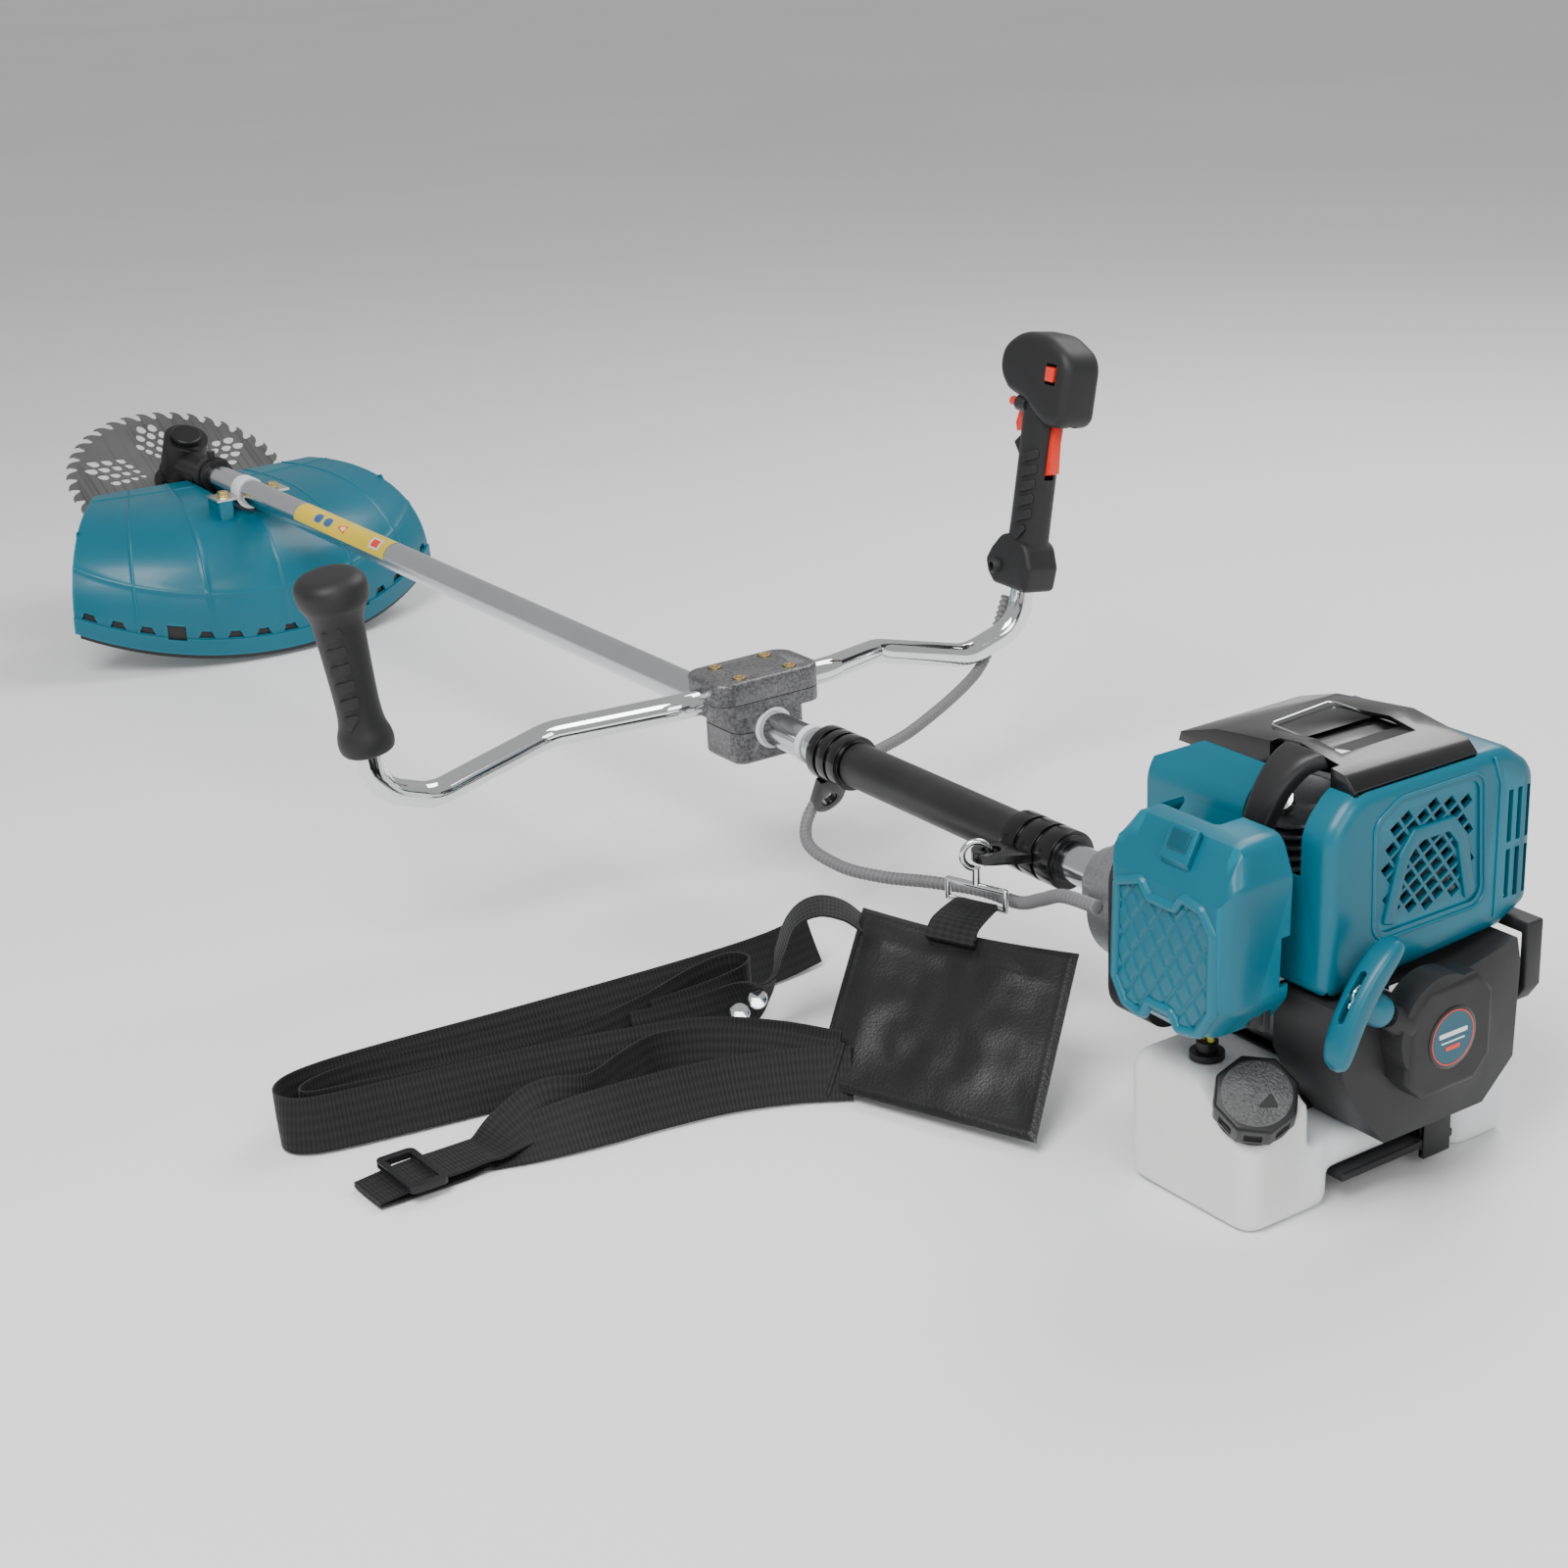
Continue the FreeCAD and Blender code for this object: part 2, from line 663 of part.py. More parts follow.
def on_grip(shape, side):
    """Moves a grip drawn around Z, with its foot at Z = 0, onto one end of the handlebar."""
    placed = shape.copy()
    if side < 0:
        placed = placed.mirror(V(0, 0, 0), Y_AXIS)
    lower = V(*BAR_HALF[-2])
    upper = V(*BAR_HALF[-1])
    direction = (upper - lower).normalize()
    base = lower + direction * 34
    turn = FreeCAD.Rotation(Z_AXIS, V(direction.x, direction.y * side, direction.z))
    placement = FreeCAD.Placement(V(base.x, base.y * side, base.z), turn)
    return placed.transformed(placement.Matrix, copy=True)


def left_grip():
    profile = [
        (0, 21), (8, 21), (20, 16.5), (60, 16.5), (98, 17.5), (116, 19.5), (126, 24.5),
        (138, 25), (145, 19),
    ]
    corners = [V(0, 0, 0)] + [V(radius, 0, height) for height, radius in profile] + [V(0, 0, 145)]
    grip = outline(corners).revolve(V(0, 0, 0), Z_AXIS, 360)
    grip = grip.cut(rod(V(0, 0, -1), Z_AXIS, 75, BAR_R + GAP))
    return on_grip(grip, 1)


def handle_outside():
    """The control handle as one block: foot with a front spur, waist, finger nub and drooping head."""
    head = slab_y([
        (-46, 160), (-46, 204), (-30, 221), (10, 223), (34, 214), (46, 195), (43, 177), (28, 167),
        (8, 164), (-12, 150), (-22, 146), (-38, 147),
    ], -19, 19)
    head = round_along(head, Y_AXIS, 5)
    waist = box((-17.5, 16.5), (-15, 15), (20, 170))
    waist = round_along(waist, Z_AXIS, 11)
    foot = slab_y([(-23, 0), (23, 0), (34, 12), (35, 26), (17, 44), (-17, 36), (-25, 20)], -17, 17)
    nub = slab_y([(14, 112), (27, 122), (23, 128), (14, 136)], -7, 7)
    return joined(head, waist, foot, nub)


def handle_voids():
    """Room for the bar, the levers, the buttons and the cable."""
    core = rod(V(0, 0, -1), Z_AXIS, 75, BAR_R + GAP)
    works = box((-11.5, 11.5), (-7.5, 7.5), (78, 206))
    trigger_slot = box((4, 40), (-5.2, 5.2), (128, 178)).fuse(rod(V(14, -7, 168), Y_AXIS, 14, 2.05))
    lockout_slot = box((-40, -6), (-4.7, 4.7), (98, 152)).fuse(rod(V(-13.5, -7, 143), Y_AXIS, 14, 2.05))
    switch_hole = box((-31, -19), (-30, -6), (184, 198))
    button_hole = rod(V(4, -10.2, 159), X_AXIS, 40, 4.1)
    cable_hole = rod(V(21, 0, -10), Z_AXIS, 36, 4.6).fuse(box((8, 22), (-3, 3), (22, 100)))
    return group(core, works, trigger_slot, lockout_slot, switch_hole, button_hole, cable_hole)


def handle_half(rear):
    half = box((-60, 0), (-60, 60), (-10, 240)) if rear else box((0, 60), (-60, 60), (-10, 240))
    return handle_outside().common(half).cut(handle_voids())


def right_grip_front():
    return on_grip(handle_half(False), -1)


def right_grip_rear():
    return on_grip(handle_half(True), -1)


def throttle_trigger():
    """A curved finger lever that turns about a pin near its top."""
    blade = slab_y([(12, 172), (24, 171), (25, 158), (30, 140), (27, 133), (13, 138)], -4.8, 4.8)
    pin = rod(V(14, -5.6, 168), Y_AXIS, 11.2, 2)
    return on_grip(joined(blade, pin), -1)


def throttle_lockout():
    """The palm lever on the back, hinged at its top."""
    lever = slab_y([(-12, 145.5), (-20, 145.5), (-24, 105), (-13, 101)], -4.4, 4.4)
    pin = rod(V(-13.5, -5.6, 143), Y_AXIS, 11.2, 2)
    return on_grip(joined(lever, pin), -1)


def lock_button():
    button = rod(V(10, -10.2, 159), X_AXIS, 22, 4.0)
    tip = [edge for edge in button.Edges if edge.BoundBox.XMin > 31.9]
    return on_grip(button.makeFillet(1.5, tip), -1)


def stop_switch():
    rocker = slab_y([(-30, 185), (-20, 185), (-20, 197), (-30, 197)], -22, -11.5)
    return on_grip(rocker, -1)


def throttle_conduit():
    """The corrugated hose from the control handle, behind the shaft, to the engine."""
    points = [
        V(494, -312, 24), V(498, -302, -8), V(478, -262, -34), V(416, -150, -40), V(378, -66, -38),
        V(356, -6, -52), V(322, 27, -66), V(270, 34, -68), V(220, 31, -62), V(165, 26, -50),
        V(112, 22, -40), V(66, 24, -34), V(24, 38, -14), V(-20, 56, 8), V(-66, 66, 18),
    ]
    return smooth_bar(points, 4.0)


# ---------------------------------------------------------------- engine

def rounded_box(x_span, y_span, z_span, radius):
    return round_all(box(x_span, y_span, z_span), radius)


def clutch_housing():
    neck = shaft_rod(-30, 1, 22)
    cone = Part.makeCone(47, 24, 34, V(-62, 0, 0), X_AXIS)
    flange = round_along(box((-72, -60), (-50, 50), (-50, 50)), X_AXIS, 14)
    cavity = shaft_rod(-21, 2, TUBE_R + GAP)
    cavity = cavity.fuse(shaft_rod(-36, -19, 17.5))
    cavity = cavity.fuse(shaft_rod(-73, -35, DRUM_R + 2))
    pinch = box((-24, -4), (14, 26), (-4, 4))
    outer = joined(neck, shaft_rod(-72, -32, 46), cone, flange, pinch)
    return outer.cut(cavity)


def clutch_drum():
    hub = shaft_rod(-36, -23, 8).fuse(shaft_rod(-40, -36, DRUM_R - 1))
    rim = shaft_ring(-60, -36, DRUM_R, DRUM_R - 2)
    return joined(hub, rim).cut(shaft_rod(-33, -20, SHAFT_R + GAP))


def clutch_shoes():
    """Two weighted shoes held in by a spring, carried on the crankshaft's nose."""
    disc = shaft_ring(-57, -43, 35.5, 9)
    gap = box((-60, -40), (-3, 3), (-40, 40))
    arms = shaft_ring(-57, -43, 14, 9).fuse(box((-54, -46), (-30, 30), (-5, 5)))
    slots = shaft_ring(-60, -40, 22, 18).cut(box((-60, -40), (-40, 40), (-7, 7)))
    return joined(disc.cut(gap).cut(slots), arms).cut(shaft_rod(-60, -40, 6 + GAP))


def fan_housing():
    outer = round_along(box((-108, -72.2), (-62, 62), (-60, 60)), X_AXIS, 24)
    cavity = shaft_rod(-104, -70, 55)
    shaft_hole = shaft_rod(-110, -100, 18)
    return outer.cut(cavity).cut(shaft_hole)


def flywheel():
    disc = shaft_rod(-98, -88, 50)
    hub = shaft_rod(-100, -78, 14)
    parts = [disc, hub]
    for i in range(14):
        blade = box((-89, -77), (-1.2, 1.2), (26, 50))
        parts.append(turned(blade, V(0, 0, 0), X_AXIS, i * 360 / 14))
    return joined(*parts).cut(shaft_rod(-110, -70, 7.5 + GAP))


def crankshaft():
    nose = shaft_rod(-76, -44, 6)
    main = shaft_rod(-157, -76, 7.5)
    tail = shaft_rod(-262, -183, 7.5)
    pin = rod(V(-175, 0, STROKE / 2), X_AXIS, 10, 6)
    webs = []
    for x in (-166, -183):
        web = shaft_rod(x, x + 9, 29)
        web = web.cut(box((x - 1, x + 10), (13, 40), (-2, 40)))
        web = web.cut(box((x - 1, x + 10), (-40, -13), (-2, 40)))
        webs.append(web)
    return joined(nose, main, tail, pin, *webs)


def crankcase():
    body = round_along(box((-222, -112), (-40, 40), (-42, 38)), X_AXIS, 14)
    flange = box((-208, -132), (-41, 41), (28, 38))
    cavity = shaft_rod(-205, -135, 33)
    mouth = rod(V(CYLINDER_X, 0, 0), Z_AXIS, 60, 27)
    shaft_hole = shaft_rod(-260, -100, 16)
    sump = box((-200, -140), (-26, 26), (-37, 0))
    return joined(body, flange).cut(group(cavity, mouth)).cut(shaft_hole).cut(sump)


def cylinder():
    axis = V(CYLINDER_X, 0, 38.1)
    barrel = rod(axis, Z_AXIS, 76, 29)
    foot = box((-204, -136), (-34, 34), (38.1, 44))
    parts = [barrel, foot]
    for i in range(9):
        z = 50 + 7 * i
        fin = box((CYLINDER_X - 38, CYLINDER_X + 38), (-36, 36), (z, z + 2.2))
        parts.append(round_along(fin, Z_AXIS, 12))
    port = box((-190, -150), (20, 42), (52, 78))
    exhaust = box((-190, -150), (-42, -20), (52, 78))
    whole = joined(*parts, port, exhaust)
    bore = rod(V(CYLINDER_X, 0, 30), Z_AXIS, 76, BORE_R)
    intake = rod(V(CYLINDER_X, 0, INTAKE_Z), Y_AXIS, 50, 8)
    outlet = rod(V(CYLINDER_X, -50, INTAKE_Z), Y_AXIS, 50, 9)
    whole = whole.cut(bore).cut(intake).cut(outlet)
    return whole.cut(plug_rod(0, 60, 5 + GAP)).cut(plug_rod(21.9, 60, 9))


def plug_rod(start, length, radius):
    return rod(PLUG_FOOT + PLUG_AXIS * start, PLUG_AXIS, length, radius)


def spark_plug():
    thread = plug_rod(4, 18, 5)
    body = plug_rod(22, 10, 8.5)
    neck = plug_rod(32, 26, 4.5)
    return joined(thread, body, neck)


def piston():
    """The piston at the top of its stroke, with its rings and gudgeon pin."""
    top = 98.0
    body = rod(V(CYLINDER_X, 0, top - 32), Z_AXIS, 32, BORE_R - 0.08)
    hollow = rod(V(CYLINDER_X, 0, top - 33), Z_AXIS, 26, BORE_R - 4)
    grooves = [
        ring(V(CYLINDER_X, 0, top - z), Z_AXIS, 1.4, BORE_R + 1, BORE_R - 2) for z in (5, 9)
    ]
    pin = rod(V(CYLINDER_X - 20, 0, top - 20), X_AXIS, 40, 5)
    return joined(body.cut(hollow), pin).cut(group(*grooves))


def muffler():
    body = rounded_box((-222, -128), (-96, -44), (31, 104), 8)
    return body.cut(rod(V(CYLINDER_X, -60, INTAKE_Z), Y_AXIS, 30, 9))


def carburettor():
    body = rounded_box((-192, -150), (58, 86), (46, 84), 4)
    insulator = box((-190, -150), (42.2, 60), (50, 80))
    whole = joined(body, insulator)
    return whole.cut(rod(V(CYLINDER_X, 40, INTAKE_Z), Y_AXIS, 60, 8)).cut(throttle_bore())


def throttle_bore():
    return rod(V(-196, 72, INTAKE_Z), X_AXIS, 50, 3 + RUN_GAP)


def throttle_arm():
    """The carburettor's throttle spindle with its cable arm."""
    spindle_rod = rod(V(-188.3, 72, INTAKE_Z), X_AXIS, 41, 3)
    arm = slab_x([(68, 62), (62, 92), (67, 92), (75.5, 62)], -149.8, -147.3)
    return joined(spindle_rod, arm)


def choke_lever():
    stem = rod(V(-196, 66, 38), V(0, 0, -1), 14, 4)
    lever = box((-222, -192), (62, 70), (20, 25))
    return joined(stem, lever)


def air_filter_case():
    """The filter's back plate with its lip, and the foam element in front of it."""
    plate = box((-246, -150), (86.2, 92), (4, 118))
    lip = box((-244, -152), (92, 100), (8, 112)).cut(box((-241, -155), (91, 101), (11, 109)))
    element = box((-240, -156), (92.5, 112), (12, 108))
    intake = rod(V(CYLINDER_X, 80, INTAKE_Z), Y_AXIS, 30, 8)
    return group(joined(plate, lip).cut(intake), element)


def cover_outline(inset):
    return [
        (-147 - inset, 22 + inset), (-158, 0 + inset), (-196, -4 + inset), (-236, 4 + inset),
        (-252 + inset, 26), (-254 + inset, 104), (-244, 128 - inset), (-160, 128 - inset),
        (-147 - inset, 108),
    ]


def air_filter_cover():
    outer = slab_y(cover_outline(0), 78, FILTER_FACE_Y)
    slope = slab_x([(108, 140), (132, 92), (160, 92), (160, 140)], -300, -100)
    low = slab_x([(118, -10), (132, 14), (160, 14), (160, -10)], -300, -100)
    outer = outer.cut(slope).cut(low)
    cavity = slab_y(cover_outline(3), 70, FILTER_FACE_Y - 14)
    room = box((-247, -149.5), (70, 113), (3.5, 118.5))
    return outer.cut(cavity).cut(room).cut(box((-215, -165), (60, 92), (-10, 30)))


def shroud_outline(inset):
    return [
        (65 - inset, 22), (65 - inset, 128), (44, 150 - inset), (-84, 150 - inset),
        (-110 + inset, 132), (-110 + inset, 42), (-84, 30),
    ]


def engine_shroud():
    outer = slab_x(shroud_outline(0), REAR_FACE_X, -110)
    cavity = slab_x(shroud_outline(3), REAR_FACE_X + 3, -100)
    bottom = box((REAR_FACE_X + 3, -100), (-107, 62), (10, 60))
    corner = slab_z([(-262, -120), (-280, -120), (-280, -80)], 0, 200)
    shell = outer.cut(cavity).cut(bottom).cut(corner)
    shell = shell.cut(vent_openings()).cut(plug_notch()).cut(carb_window())
    return shell.cut(box((-266.5, -112), (-60, 43.7), (140, 170)))


def plug_notch():
    return box((-246, -196), (36, 80), (96, 170))


def carb_window():
    return box((-226, -120), (55, 80), (20, 94))


def vent_openings():
    """Diagonal lattice holes in the rear face and upright slots in the right-hand wall."""
    holes = []
    for i in range(5):
        for j in range(5):
            y = -62 + i * 21 + (j % 2) * 10.5
            z = 62 + j * 16
            if y < 22 and not (-34 < y < -8 and 80 < z < 100):
                diamond = [(y - 6, z), (y, z - 8), (y + 6, z), (y, z + 8)]
                holes.append(slab_x(diamond, REAR_FACE_X - 2, REAR_FACE_X + 5))
    for i in range(6):
        x = -254 + i * 9
        holes.append(box((x, x + 4), (-115, -100), (52, 120)))
    return group(*holes)


def top_cover():
    profile = [
        (-116, 141.5), (-118, 148), (-150, 158), (-214, 165), (-258, 158), (-266, 150.5), (-262.5, 141.5),
    ]
    cover = slab_y(profile, -59.5, 43.2)
    underside = slab_y([(x * 1.02 + 4, z - 3) for x, z in profile], -56, 40)
    cover = cover.cut(underside)
    dish = slab_y([(-146, 170), (-146, 159), (-236, 161), (-236, 170)], -38, 24)
    return cover.cut(dish.common(box((-240, -140), (-38, 24), (160.5, 172)))).cut(plug_notch())


def plug_boot():
    leg = rod(V(-214, 60, 112), V(-0.2, -0.1, 0.97).normalize(), 44, 9)
    lid = rounded_box((-246, -204), (36, 62), (150, 166), 5)
    return joined(leg, lid).cut(plug_rod(10, 80, 9))


def starter_cover():
    """The recoil starter's housing: a flat body and the eight-sided pod around the pulley."""
    body = slab_x(STARTER_OUTLINE, -284, -226)
    half = POD_HALF
    flat = POD_HALF - 14
    pod_points = [
        (flat, half), (half, flat), (half, -flat), (flat, -half),
        (-flat, -half), (-half, -flat), (-half, flat), (-flat, half),
    ]
    pod = slab_x([(y + POD_SHIFT, z + POD_SHIFT) for y, z in pod_points], POD_X, -283)
    rear_edges = [e for e in pod.Edges if e.BoundBox.XMax < POD_X + 0.1]
    pod = pod.makeFillet(5, rear_edges)
    cavity = slab_x([(y * 0.93, z * 0.93) for y, z in STARTER_OUTLINE], -280, -220)
    pod_cavity = shaft_rod(-299, -270, POD_CAVITY_R)
    hood = shaft_rod(POD_X + 1, -283, POD_CAVITY_R + 3)
    shell = joined(body, pod.fuse(hood)).cut(cavity).cut(pod_cavity)
    shell = shell.fuse(shaft_rod(-300, -284, 6))
    shell = shell.cut(box((-290, -240), (56, 70), (24, 31)))
    return shell.cut(rope_hole())


def rope_hole():
    return rod(HANDLE_CENTRE - PULL_DIRECTION * 60, PULL_DIRECTION, 58, 4.5)


def starter_pulley():
    """The rope pulley with its two flanges; it turns on the post inside the starter cover."""
    core = shaft_ring(-297, -285, PULLEY_R - 3, 6 + RUN_GAP)
    flanges = [shaft_ring(x, x + 1.8, PULLEY_R + 3, 6 + RUN_GAP) for x in (-298.5, -286.8)]
    return joined(core, *flanges)


def starter_handle():
    bar_axis = V(0, -0.564, 0.826)
    bar = rod(HANDLE_CENTRE - bar_axis * 36, bar_axis, 72, 7.5)
    bar = bar.makeFillet(5, [e for e in bar.Edges if e.Curve.TypeId == "Part::GeomCircle"])
    stem = rod(HANDLE_CENTRE - PULL_DIRECTION * 22, PULL_DIRECTION, 22, 7.5)
    whole = joined(bar, stem)
    return whole.cut(rod(HANDLE_CENTRE - PULL_DIRECTION * 30, PULL_DIRECTION, 60, 2.3))


def starter_rope():
    return rod(HANDLE_CENTRE - PULL_DIRECTION * 34, PULL_DIRECTION, 38, 1.8)


def side_guard():
    """The dark frame beside the muffler, with one large opening."""
    plate_corners = [(-282, 34), (-180, 34), (-180, 0), (-240, -22), (-274, -22), (-282, -10)]
    hole_corners = [(-276, 26), (-212, 26), (-222, -2), (-246, -14), (-270, -14), (-276, -8)]
    plate = slab_y(plate_corners, -110, -96)
    opening = slab_y(hole_corners, -112, -90)
    return plate.cut(opening)


def engine_base():
    """The black stand between crankcase and fuel tank, and the strap under the tank."""
    legs = box((-222, -120), (-38, 38), (-78, -42.5))
    legs = legs.cut(box((-230, -110), (-30, 30), (-72, -46)))
    return group(legs, tank_strap())


def fuel_tank():
    left = rounded_box((-258, -146), (40, 112), (-128, -36), 13)
    right = rounded_box((-258, -150), (-118, -66), (-128, -50), 13)
    cover_room = box((-290, -224), (-90, 62), (-77.5, 40))
    bridge = rounded_box((-256, -150), (-100, 80), (-103, -78), 9)
    whole = joined(left, right, bridge).cut(cover_room)
    turn = FreeCAD.Rotation(Z_AXIS, CAP_AXIS)
    above_neck = box((-60, 60), (-60, 60), (0, 90))
    above_neck = above_neck.transformed(FreeCAD.Placement(CAP_BASE, turn).Matrix, copy=True)
    whole = whole.cut(above_neck)
    neck = rod(CAP_BASE - CAP_AXIS * 4, CAP_AXIS, 18, 17)
    whole = whole.fuse(neck).removeSplitter()
    whole = whole.cut(rod(CAP_BASE - CAP_AXIS * 20, CAP_AXIS, 60, 14))
    hollows = (
        rounded_box((-254, -150), (66, 108), (-121, -40), 9),
        rounded_box((-254, -154), (-114, -70), (-121, -82), 9),
    )
    cavity = group(*hollows)
    cavity = cavity.cut(above_neck.translated(CAP_AXIS * -4))
    hose_hole = rod(V(-190, 84, -45), Z_AXIS, 20, 6)
    return whole.cut(cavity).cut(hose_hole)


def tank_cap():
    cap = rod(CAP_BASE + CAP_AXIS * 1.5, CAP_AXIS, 22.5, CAP_R)
    rims = [e for e in cap.Edges if e.Curve.TypeId == "Part::GeomCircle"]
    cap = cap.makeFillet(2.5, rims)
    return cap.cut(rod(CAP_BASE, CAP_AXIS, 19, 17.2))


def tank_strap():
    bar = box((-262, -150), (-60, 37), (-109, -103.2))
    foot = box((-212, -160), (-16, 16), (-130, -109))
    clip = box((-264, -259), (-56, -32), (-116, -80))
    return joined(bar, clip, foot)


def fuel_grommet():
    plug = rod(V(-190, 84, -41), Z_AXIS, 9, 5.9)
    flange = rod(V(-190, 84, -35.9), Z_AXIS, 5, 11)
    post = rod(V(-190, 84, -33), Z_AXIS, 9, 7)
    return joined(plug, flange, post)


def fuel_lines():
    """The two hoses and the rubber grommet that leads them into the tank."""
    lines = [fuel_grommet()]
    for dx, dy in ((-3.2, 0), (3.2, 0)):
        foot = V(-190 + dx, 84 + dy, -23.9)
        points = [foot, foot + V(0, 2, 14), foot + V(8, -2, 34), foot + V(8, -6, 56)]
        lines.append(smooth_bar(points, 2.2))
    return group(*lines)


def ignition():
    """The coil beside the cylinder and the rubber boot over the spark plug."""
    coil = rounded_box((-130, -112.5), (-20, 20), (62, 92), 3)
    return group(coil, plug_boot())


# ---------------------------------------------------------------- harness

def eye_outward():
    return V(math.cos(math.radians(EYE_TURN)), math.sin(math.radians(EYE_TURN)), 0)


def hook_centre():
    """The middle of the rear eye's outer rim, around which the hook swings."""
    return REAR_EYE + eye_outward() * (EYE_HOLE_R + EYE_EDGE_R) / 2


def hook_point(radius, angle):
    """A point of the hook's upright plane; angle 0 points away from the tube, 90 up."""
    turn = math.radians(angle)
    return hook_centre() + eye_outward() * (radius * math.cos(turn)) + Z_AXIS * (radius * math.sin(turn))


def hook_arc(start_angle, end_angle, wire_r):
    start = hook_point(HOOK_R, start_angle)
    middle = hook_point(HOOK_R, (start_angle + end_angle) / 2)
    end = hook_point(HOOK_R, end_angle)
    arc = Part.Arc(start, middle, end)
    direction = arc.tangent(arc.FirstParameter)[0]
    return round_bar(Part.Wire([arc.toShape()]), start, direction, wire_r)


def pad_along():
    return (PAD_TOP_LEFT - PAD_TOP_RIGHT).normalize()


def snap_hook():
    """A hook around the rear eye, with a swivel and a flat ring for the strap below it."""
    hook = hook_arc(-80, 214, HOOK_WIRE_R)
    foot = hook_point(HOOK_R, 270)
    barrel = rod(foot - Z_AXIS * 12, Z_AXIS, 12.5, 3.2)
    along = V(pad_along().x, pad_along().y, 0).normalize()
    top = foot - Z_AXIS * 13
    corners = [
        top - along * 24, top + along * 24, top + along * 24 - Z_AXIS * 14, top - along * 24 - Z_AXIS * 14,
    ]
    bars = []
    for start, end in zip(corners, corners[1:] + corners[:1]):
        bars.append(rod(start, (end - start).normalize(), (end - start).Length, 2.2))
        bars.append(Part.makeSphere(2.2, start))
    return joined(hook, barrel, *bars)


def hook_gate():
    """The sprung gate that closes the hook's mouth."""
    return hook_arc(222, 240, 1.4)


def hip_pad():
    """The leather pad, hanging from the ring down to the floor."""
    down = PAD_BOTTOM_LEFT - PAD_TOP_LEFT
    corners = [PAD_TOP_LEFT, PAD_TOP_RIGHT, PAD_TOP_RIGHT + down, PAD_BOTTOM_LEFT]
    normal = pad_along().cross(down).normalize()
    return outline(corners).extrude(normal * PAD_THICK)


def strap_tab():
    """The webbing loop that joins the ring to the pad's top edge."""
    top = hook_point(HOOK_R, 270) - Z_AXIS * 33
    along = V(pad_along().x, pad_along().y, 0).normalize()
    edge = V(top.x - 10, 0, 0)
    share = (edge.x - PAD_TOP_RIGHT.x) / (PAD_TOP_LEFT.x - PAD_TOP_RIGHT.x)
    edge = PAD_TOP_RIGHT + (PAD_TOP_LEFT - PAD_TOP_RIGHT) * share + V(0, -0.5, 2.0)
    run = (edge - top) * 0.9
    half = along * (WEBBING_WIDTH / 2)
    corners = [top - half, top + half, top + half + run, top - half + run]
    normal = along.cross(run).normalize()
    return outline(corners).extrude(normal * 2)


def floor_band(points, base):
    """A flat band of webbing lying on the floor along a line of points."""
    left = []
    right = []
    for i, point in enumerate(points):
        before = V(*points[max(i - 1, 0)], 0)
        after = V(*points[min(i + 1, len(points) - 1)], 0)
        along = (after - before).normalize()
        side = V(-along.y, along.x, 0) * (WEBBING_WIDTH / 2)
        left.append((point[0] + side.x, point[1] + side.y))
        right.append((point[0] - side.x, point[1] - side.y))
    return slab_z(left + right[::-1], base, base + WEBBING_THICK)


def harness_webbing():
    """Three runs of the strap lying over one another on the floor."""
    return group(floor_band(UPPER_RUN, 1.0), floor_band(LOWER_RUN, 4.6), floor_band(BUCKLE_RUN, 8.2))


def strap_slider():
    """The plastic slider that sets the strap's length."""
    x, y = SLIDER_SPOT
    frame = round_along(box((x - 27, x + 27), (y - 14, y + 14), (7.5, 12.5)), Z_AXIS, 5)
    tunnel = box((x - 21, x + 21), (y - 20, y + 20), (8.0, 11.2))
    window = box((x - 21, x + 21), (y - 9, y + 9), (5, 14))
    return frame.cut(tunnel).cut(window)


# ---------------------------------------------------------------- assembly

SHAFT_PIECES = (shaft_tube, drive_shaft, shaft_bushes, shaft_sleeve, tube_collars, harness_loops)
HEAD_PIECES = (
    gear_case, bevel_pinion, bevel_gear, spindle, bearings, blade_fixings, saw_blade,
    guard, guard_bracket, bolts_and_screws,
)
HANDLE_PIECES = (
    handlebar_tube, handlebar_clamp, left_grip, right_grip_front, right_grip_rear,
    throttle_trigger, throttle_lockout, lock_button, stop_switch, throttle_conduit,
)
ENGINE_PIECES = (
    clutch_housing, clutch_drum, clutch_shoes, fan_housing, flywheel, crankshaft, crankcase,
    cylinder, spark_plug, piston, muffler, carburettor, throttle_arm, choke_lever,
    air_filter_case, air_filter_cover, engine_shroud, top_cover, ignition, starter_cover,
    starter_pulley, starter_handle, starter_rope, side_guard, tank_cap, fuel_lines,
)
HARNESS_PIECES = (snap_hook, hook_gate, hip_pad)


def main():
    os.makedirs("parts", exist_ok=True)
    for piece in SHAFT_PIECES + HEAD_PIECES + HANDLE_PIECES + ENGINE_PIECES + HARNESS_PIECES:
        place(piece.__name__, piece())
    floor = box((-500, 2500), (-800, 800), (-200, 0))
    export("guard_flap", seat(guard_flap()).cut(floor))
    export("fuel_tank", seat(fuel_tank()).cut(floor))
    export("engine_base", seat(engine_base()).cut(floor))
    export("harness_webbing", group(harness_webbing(), seat(strap_tab())))
    export("strap_slider", strap_slider())


main()
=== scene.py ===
import json
import math

import bmesh
import bpy
from mathutils import Matrix, Vector, noise
from mathutils.geometry import tessellate_polygon


